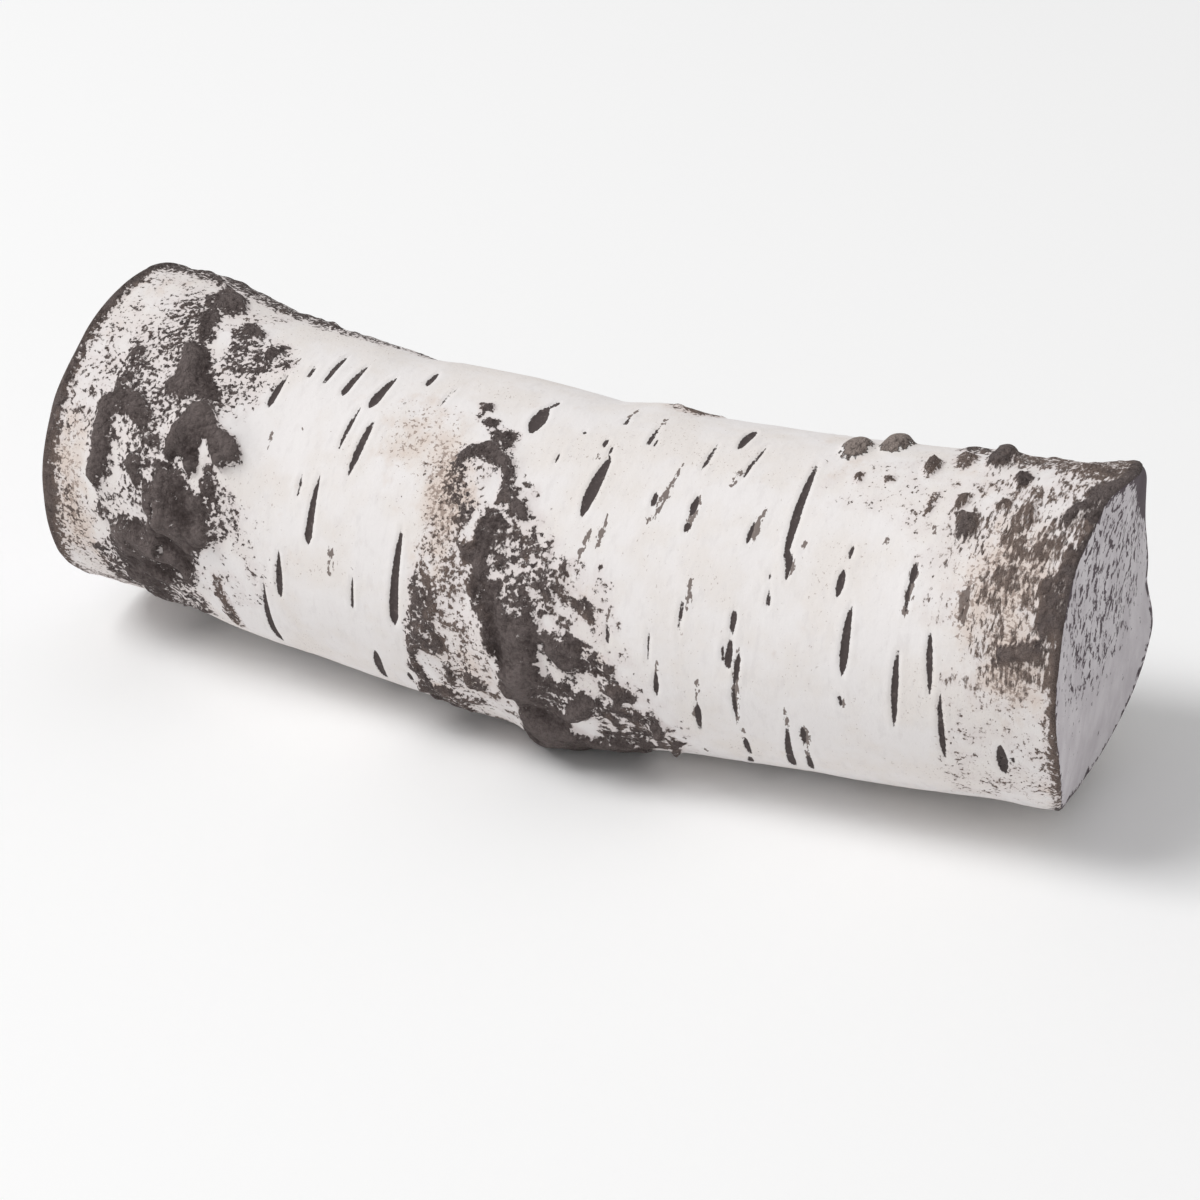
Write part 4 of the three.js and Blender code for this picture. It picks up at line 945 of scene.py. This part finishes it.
def birch_bark(look):
    """Birch bark: chalky white outer bark that peels in thin layers round the trunk, and over it the dark
    corky crust that it cracks into. Both are dry and matt, so there is no shine to see."""
    material, tree, shader = new_material("birch_bark")
    place, grain = add_grains(tree, BARK_GRAINS)
    field = {
        name: add_node(tree, "ShaderNodeAttribute", {"attribute_name": name}).outputs["Fac"]
        for name in BARK_FIELDS
    }

    # White bark: faint warm and cool clouds, thin layers that end in hairlines round the trunk, a stain
    # near the crust, and the tan haze with its brown stipple
    haze = add_node(tree, "ShaderNodeMath", TIMES_PLUS, in_0=grain["haze"], in_1=2.0, in_2=field["haze"])
    haze_level = add_node(tree, "ShaderNodeMath", LEAST, in_0=field["haze"], in_1=1.0)
    haze_level = add_node(tree, "ShaderNodeMath", TIMES, in_0=haze_level, in_1=3.3)
    stipple = add_node(tree, "ShaderNodeMath", TIMES_PLUS, in_0=grain["stipple"], in_1=12.0, in_2=haze_level)
    dust = add_node(tree, "ShaderNodeMath", TIMES_PLUS, in_0=grain["clouds"], in_1=0.35, in_2=grain["dust"])
    white = add_layers(
        tree,
        linear(look.white),
        (
            (grain["clouds"], 0.38, 0.64, 1.0, linear(look.cream)),
            (grain["layers"], 0.52, 0.7, 0.35, linear(look.grey)),
            (dust, 0.83, 0.91, 0.5, linear(look.stipple)),
            (field["crust"], -2.4, 0.0, 0.8, linear(look.stained)),
            (haze, 1.2, 2.1, 0.78, linear(look.tan)),
            (stipple, 8.8, 9.7, 0.75, linear(look.stipple)),
        ),
    )

    # Crust: the level from the mesh with its finest lace added, rounded lobes right of the middle, and
    # strokes that run round the trunk at its right end
    lace = add_node(tree, "ShaderNodeMath", MINUS, in_0=grain["lace"], in_1=0.5)
    lace = add_node(tree, "ShaderNodeMath", TIMES, in_0=lace, in_1=field["lace"])
    streaks = add_node(tree, "ShaderNodeMath", TIMES_PLUS, in_0=grain["streaks"], in_1=10.0, in_2=-5.0)
    lace = add_node(tree, "ShaderNodeMix", NUMBER, in_0=field["streaky"], in_2=lace, in_3=streaks)
    cells = add_node(tree, "ShaderNodeMapping", {}, Vector=place, Scale=[1 / (LOBE_SIZE * MM)] * 3)
    cells = add_node(
        tree, "ShaderNodeTexVoronoi", {"feature": "SMOOTH_F1"}, Vector=cells, Scale=1.0, Smoothness=0.3
    )
    lobes = add_node(tree, "ShaderNodeMath", MINUS, in_0=0.45, in_1=cells)
    lobes = add_node(tree, "ShaderNodeMath", TIMES_PLUS, in_0=lobes, in_1=field["lobes"], in_2=field["crust"])
    edge = add_node(tree, "ShaderNodeMath", PLUS, in_0=lobes, in_1=lace)
    high = add_node(tree, "ShaderNodeMath", TIMES_PLUS, in_0=field["streaky"], in_1=0.45, in_2=0.42)
    low = add_node(tree, "ShaderNodeMath", TIMES, in_0=high, in_1=-1.0)
    crust = add_node(tree, "ShaderNodeMapRange", SMOOTH, Value=edge, From_Min=low, From_Max=high)

    # Its colour: lighter on what stands up and darker in the hollows, which is painted highlight and painted
    # shade drawn from the crust's relief, over a random mottle, and browner where it is thin
    tones = add_node(tree, "ShaderNodeMath", TIMES_PLUS, in_0=field["relief"], in_1=0.16, in_2=grain["tones"])
    brown = add_node(tree, "ShaderNodeMath", TIMES_PLUS, in_0=grain["brown"], in_1=1.4, in_2=field["warmth"])
    thin = add_node(
        tree,
        "ShaderNodeMapRange",
        SMOOTH,
        Value=field["crust"],
        From_Min=0.4,
        From_Max=1.8,
        To_Min=0.9,
        To_Max=0.42,
    )
    dark = add_layers(
        tree,
        linear(look.crust_dark_and_shade),
        (
            (tones, 0.2, 0.8, 1.0, linear(look.crust_pale_and_highlight)),
            (brown, 0.85, 1.5, thin, linear(look.crust_brown)),
        ),
    )
    smear = add_node(tree, "ShaderNodeMath", TIMES_PLUS, in_0=field["warmth"], in_1=0.35, in_2=0.12)
    smear = add_node(tree, "ShaderNodeMath", TIMES_PLUS, in_0=field["streaky"], in_1=0.35, in_2=smear)

    # Knots: brown wood, with painted shade on their right side. Slits: clean dark ones and broken brownish
    # ones
    knot_edge = add_node(
        tree, "ShaderNodeMath", TIMES_PLUS, in_0=grain["knot"], in_1=4.0, in_2=field["knots"]
    )
    # Rings in the knots' wood, and painted shade on their right side
    knot_rings_and_shade = add_node(
        tree, "ShaderNodeMath", TIMES_PLUS, in_0=grain["knot_rings"], in_1=3.0, in_2=field["knot_shade_side"]
    )
    slits = add_node(tree, "ShaderNodeMath", TIMES_PLUS, in_0=grain["slits"], in_1=0.7, in_2=field["slits"])
    slit = add_node(tree, "ShaderNodeMapRange", SMOOTH, Value=slits, From_Min=0.28, From_Max=0.45)
    broken = add_node(
        tree, "ShaderNodeMath", TIMES_PLUS, in_0=grain["scratches"], in_1=3.4, in_2=field["scratches"]
    )
    knots = add_layers(
        tree,
        linear(look.crust_dark_and_shade),
        (
            (knot_edge, 2.0, 2.7, 1.0, linear(look.knot)),
            (knot_rings_and_shade, 1.5, 2.4, 0.8, linear(look.crust_dark_and_shade)),
        ),
    )
    # Inside the slits: dark, lighter where the mottle and the crust's painted highlight reach
    pits = add_layers(tree, linear(look.slit), ((tones, 0.5, 1.0, 1.0, linear(look.crust_pale_and_highlight)),))
    colour = add_layers(
        tree,
        white,
        (
            (edge, -1.1, 0.1, smear, linear(look.fringe)),
            (crust, 0.0, 1.0, 1.0, dark),
            (knot_edge, 1.9, 2.3, 1.0, knots),
            (broken, 1.72, 1.97, 0.9, linear(look.scratch)),
            (slit, 0.0, 1.0, 1.0, pits),
        ),
    )

    # Relief in mm: corky crust and knots, sunk slits, and the bark's faint unevenness
    raised = add_node(tree, "ShaderNodeMapRange", SMOOTH, Value=knot_edge, From_Min=1.9, From_Max=2.3)
    raised = add_node(tree, "ShaderNodeMath", MOST, in_0=crust, in_1=raised)
    cork = add_node(tree, "ShaderNodeMath", TIMES_PLUS, in_0=grain["cork"], in_1=5.5, in_2=-3.9)
    cork = add_node(tree, "ShaderNodeMath", TIMES_PLUS, in_0=grain["lumps"], in_1=3.0, in_2=cork)
    height = add_node(tree, "ShaderNodeMath", TIMES, in_0=grain["skin"], in_1=0.14)
    height = add_node(tree, "ShaderNodeMath", TIMES_PLUS, in_0=raised, in_1=cork, in_2=height)
    height = add_node(tree, "ShaderNodeMath", TIMES_PLUS, in_0=slit, in_1=-0.2, in_2=height)
    finish_surface(tree, shader, colour, 0.92, height, MM)
    return material


def pale_saw_cut(look):
    """Saw cut across birch, gone grey and matt, with dark flecks where grit and bark dust sit in the
    grain."""
    material, tree, shader = new_material("pale_saw_cut")
    _, grain = add_grains(tree, CUT_GRAINS)
    level = add_node(tree, "ShaderNodeAttribute", {"attribute_name": "flecks"}).outputs["Fac"]
    flecks = add_node(tree, "ShaderNodeMath", TIMES_PLUS, in_0=grain["flecks"], in_1=10.0, in_2=level)
    colour = add_layers(
        tree,
        linear(look.cut),
        (
            (grain["clouds"], 0.35, 0.65, 1.0, linear(look.cut_shade)),
            (flecks, 4.7, 5.3, 1.0, linear(look.cut_fleck)),
        ),
    )
    finish_surface(tree, shader, colour, 0.9, grain["rough"], 0.3 * MM)
    return material


def white_floor(colour):
    """White studio board: matt and even."""
    material, _, shader = new_material("white_studio_board")
    shader.inputs["Base Color"].default_value = linear(colour)
    shader.inputs["Roughness"].default_value = 0.9
    return material


def length(name, description, default):
    """A length in metres for a PropertyGroup."""
    return bpy.props.FloatProperty(name=name, description=description, default=default, unit="LENGTH")


def angle_property(name, description, default):
    """An angle in radians for a PropertyGroup."""
    return bpy.props.FloatProperty(name=name, description=description, default=default, subtype="ANGLE")


def hex_colour(name, description, default):
    """An sRGB hex colour for a PropertyGroup."""
    return bpy.props.StringProperty(name=name, description=description, default=default)


class BirchLogSize(bpy.types.PropertyGroup):
    """Sizes of the log."""

    radius: length("Radius", "Mean radius of the trunk with its bark", 39.2 * MM)
    crust_height: length("Crust height", "How far the crust stands above the white bark", 1.9 * MM)
    slit_depth: length("Slit depth", "How deep the lenticels are sunk", 0.5 * MM)
    rim_wear: length("Rim wear", "How far the rims of the saw cuts are worn round", 0.9 * MM)
    steps_along: bpy.props.IntProperty(name="Steps along", description="Faces along the log", default=392)
    steps_round: bpy.props.IntProperty(name="Steps round", description="Faces round the log", default=232)
    face_rings: bpy.props.IntProperty(name="Face rings", description="Rings on each saw cut", default=14)


class BirchLogLook(bpy.types.PropertyGroup):
    """Colours of the log, as sRGB hex."""

    white: hex_colour("White bark", "Smooth bark", "#ECE8E7")
    cream: hex_colour("Cream bark", "Warmer clouds in the smooth bark", "#E8E2DE")
    grey: hex_colour("Grey bark", "Thin layers in the smooth bark", "#DDD8D7")
    tan: hex_colour("Tan haze", "Warmer bark near the crust", "#D9C9BE")
    stipple: hex_colour("Stipple", "Fine brown specks in the tan haze", "#8E7B71")
    # Also the painted shade in the crust's hollows and on the knots' right side
    crust_dark_and_shade: hex_colour("Crust, low", "Hollows of the crust", "#524745")
    # Also the painted highlight on the crust's tops, and the lighter mottle in the slits
    crust_pale_and_highlight: hex_colour("Crust, high", "Tops of the crust", "#897D7A")
    crust_brown: hex_colour("Crust, brown", "Thin, brown crust", "#96847B")
    stained: hex_colour("Stained bark", "White bark between the crust", "#DED5D3")
    fringe: hex_colour("Fringe", "Stain along the edge of the crust", "#A8978E")
    knot: hex_colour("Knot", "Wood of the knots", "#BBACA4")
    slit: hex_colour("Slit", "Inside of the lenticels", "#4E4645")
    scratch: hex_colour("Scratch", "Broken, brownish lenticels", "#6E615B")
    cut: hex_colour("Saw cut", "Pale grey of the saw cuts", "#DAD5D8")
    cut_shade: hex_colour("Saw cut, shade", "Darker clouds on the saw cuts", "#CBC5C9")
    cut_fleck: hex_colour("Saw cut, flecks", "Flecks on the saw cuts", "#5E5459")


class BirchLogStage(bpy.types.PropertyGroup):
    """The floor, the lights and the camera."""

    floor: hex_colour("Floor", "Colour of the floor", "#FDFDFD")
    floor_size: length("Floor size", "Side of the floor", 12.0)
    sky: bpy.props.FloatProperty(name="Sky", description="Strength of the even light", default=0.5)
    key: bpy.props.FloatProperty(
        name="Key light", description="Power of the soft box", default=66.0, unit="POWER"
    )
    azimuth: angle_property("Azimuth", "Camera's turn to the right of the front", 24 * DEGREE)
    elevation: angle_property("Elevation", "Camera's height above the floor", 30 * DEGREE)
    distance: length("Distance", "From the camera to the log's middle", 0.786)
    lens: bpy.props.FloatProperty(name="Lens", description="Focal length in mm", default=100.0)


class BIRCH_OT_add_log(bpy.types.Operator):
    """Add the birch log"""

    bl_idname = "birch.add_log"
    bl_label = "Birch log"

    def execute(self, context):
        size, look = context.scene.birch_log_size, context.scene.birch_log_look
        mesh = make_log_mesh("birch_log", size)
        mesh.materials.append(birch_bark(look))
        mesh.materials.append(pale_saw_cut(look))
        log = bpy.data.objects.new("birch_log", mesh)
        context.scene.collection.objects.link(log)
        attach(log, "root")
        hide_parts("log")
        return {"FINISHED"}


class BIRCH_OT_add_stage(bpy.types.Operator):
    """Add the floor, the lights and the camera"""

    bl_idname = "birch.add_stage"
    bl_label = "Stage"

    def execute(self, context):
        stage = context.scene.birch_log_stage
        side = stage.floor_size / 2
        mesh = bpy.data.meshes.new("floor")
        corners = [(x * side, y * side, -FLOOR_GAP) for x, y in ((-1, -1), (1, -1), (1, 1), (-1, 1))]
        mesh.from_pydata(corners, [], [(0, 1, 2, 3)])
        mesh.materials.append(white_floor(stage.floor))
        floor = bpy.data.objects.new("floor", mesh)
        context.scene.collection.objects.link(floor)

        world = bpy.data.worlds.new("white_room")
        world.use_nodes = True
        background = world.node_tree.nodes["Background"]
        background.inputs["Color"].default_value = (1, 1, 1, 1)
        background.inputs["Strength"].default_value = stage.sky
        context.scene.world = world
        context.scene.view_settings.view_transform = "Standard"

        add_soft_box(context, "key_soft_box", KEY_PLACE, KEY_AIM, KEY_SIZE, stage.key)
        add_camera(context, stage)
        return {"FINISHED"}


def look_from(place, aim):
    """Turn and place of a light or camera at place that looks at aim, upright."""
    back = (Vector(place) - Vector(aim)).normalized()
    right = Vector((0, 0, 1)).cross(back).normalized()
    up = back.cross(right)
    return Matrix.Translation(place) @ Matrix((right, up, back)).transposed().to_4x4()


def add_soft_box(context, name, place, aim, size, power):
    """A square area light of the given side and power."""
    light = bpy.data.lights.new(name, "AREA")
    light.size = size
    light.energy = power
    box = bpy.data.objects.new(name, light)
    box.matrix_world = look_from(place, aim)
    context.scene.collection.objects.link(box)


def add_camera(context, stage):
    """The camera in front and to the right of the log. It looks past the middle of the log, a little to
    the right of it and below it, which sets the log in the upper part of the picture."""
    turn, rise = stage.azimuth, stage.elevation
    back = Vector((np.sin(turn) * np.cos(rise), -np.cos(turn) * np.cos(rise), np.sin(rise)))
    right = Vector((np.cos(turn), np.sin(turn), 0))
    up = back.cross(right)
    aim = Vector(LOG_MIDDLE) * MM + (right * AIM_RIGHT - up * AIM_DOWN) * MM
    data = bpy.data.cameras.new("camera")
    data.lens = stage.lens
    data.sensor_width = 36.0
    data.clip_start = 0.01
    camera = bpy.data.objects.new("camera", data)
    camera.matrix_world = look_from(aim + back * stage.distance, aim)
    context.scene.collection.objects.link(camera)
    context.scene.camera = camera


class BIRCH_PT_panel(bpy.types.Panel):
    """Buttons and settings for the birch log"""

    bl_idname = "BIRCH_PT_panel"
    bl_label = "Birch log"
    bl_space_type = "VIEW_3D"
    bl_region_type = "UI"
    bl_category = "Birch log"

    def draw(self, context):
        for operator in OPERATORS:
            self.layout.operator(operator.bl_idname)
        for name in SETTINGS:
            box = self.layout.box()
            group = getattr(context.scene, name)
            for key in group.__annotations__:
                box.prop(group, key)


SETTINGS = {
    "birch_log_size": BirchLogSize,
    "birch_log_look": BirchLogLook,
    "birch_log_stage": BirchLogStage,
}
OPERATORS = (BIRCH_OT_add_log, BIRCH_OT_add_stage)
CLASSES = (*SETTINGS.values(), *OPERATORS, BIRCH_PT_panel)


def register():
    for cls in CLASSES:
        bpy.utils.register_class(cls)
    for name, group in SETTINGS.items():
        setattr(bpy.types.Scene, name, bpy.props.PointerProperty(type=group))


def unregister():
    for name in SETTINGS:
        delattr(bpy.types.Scene, name)
    for cls in reversed(CLASSES):
        bpy.utils.unregister_class(cls)


def main():
    register()
    bpy.ops.birch.add_log()
    bpy.ops.birch.add_stage()


if __name__ == "__main__":
    main()
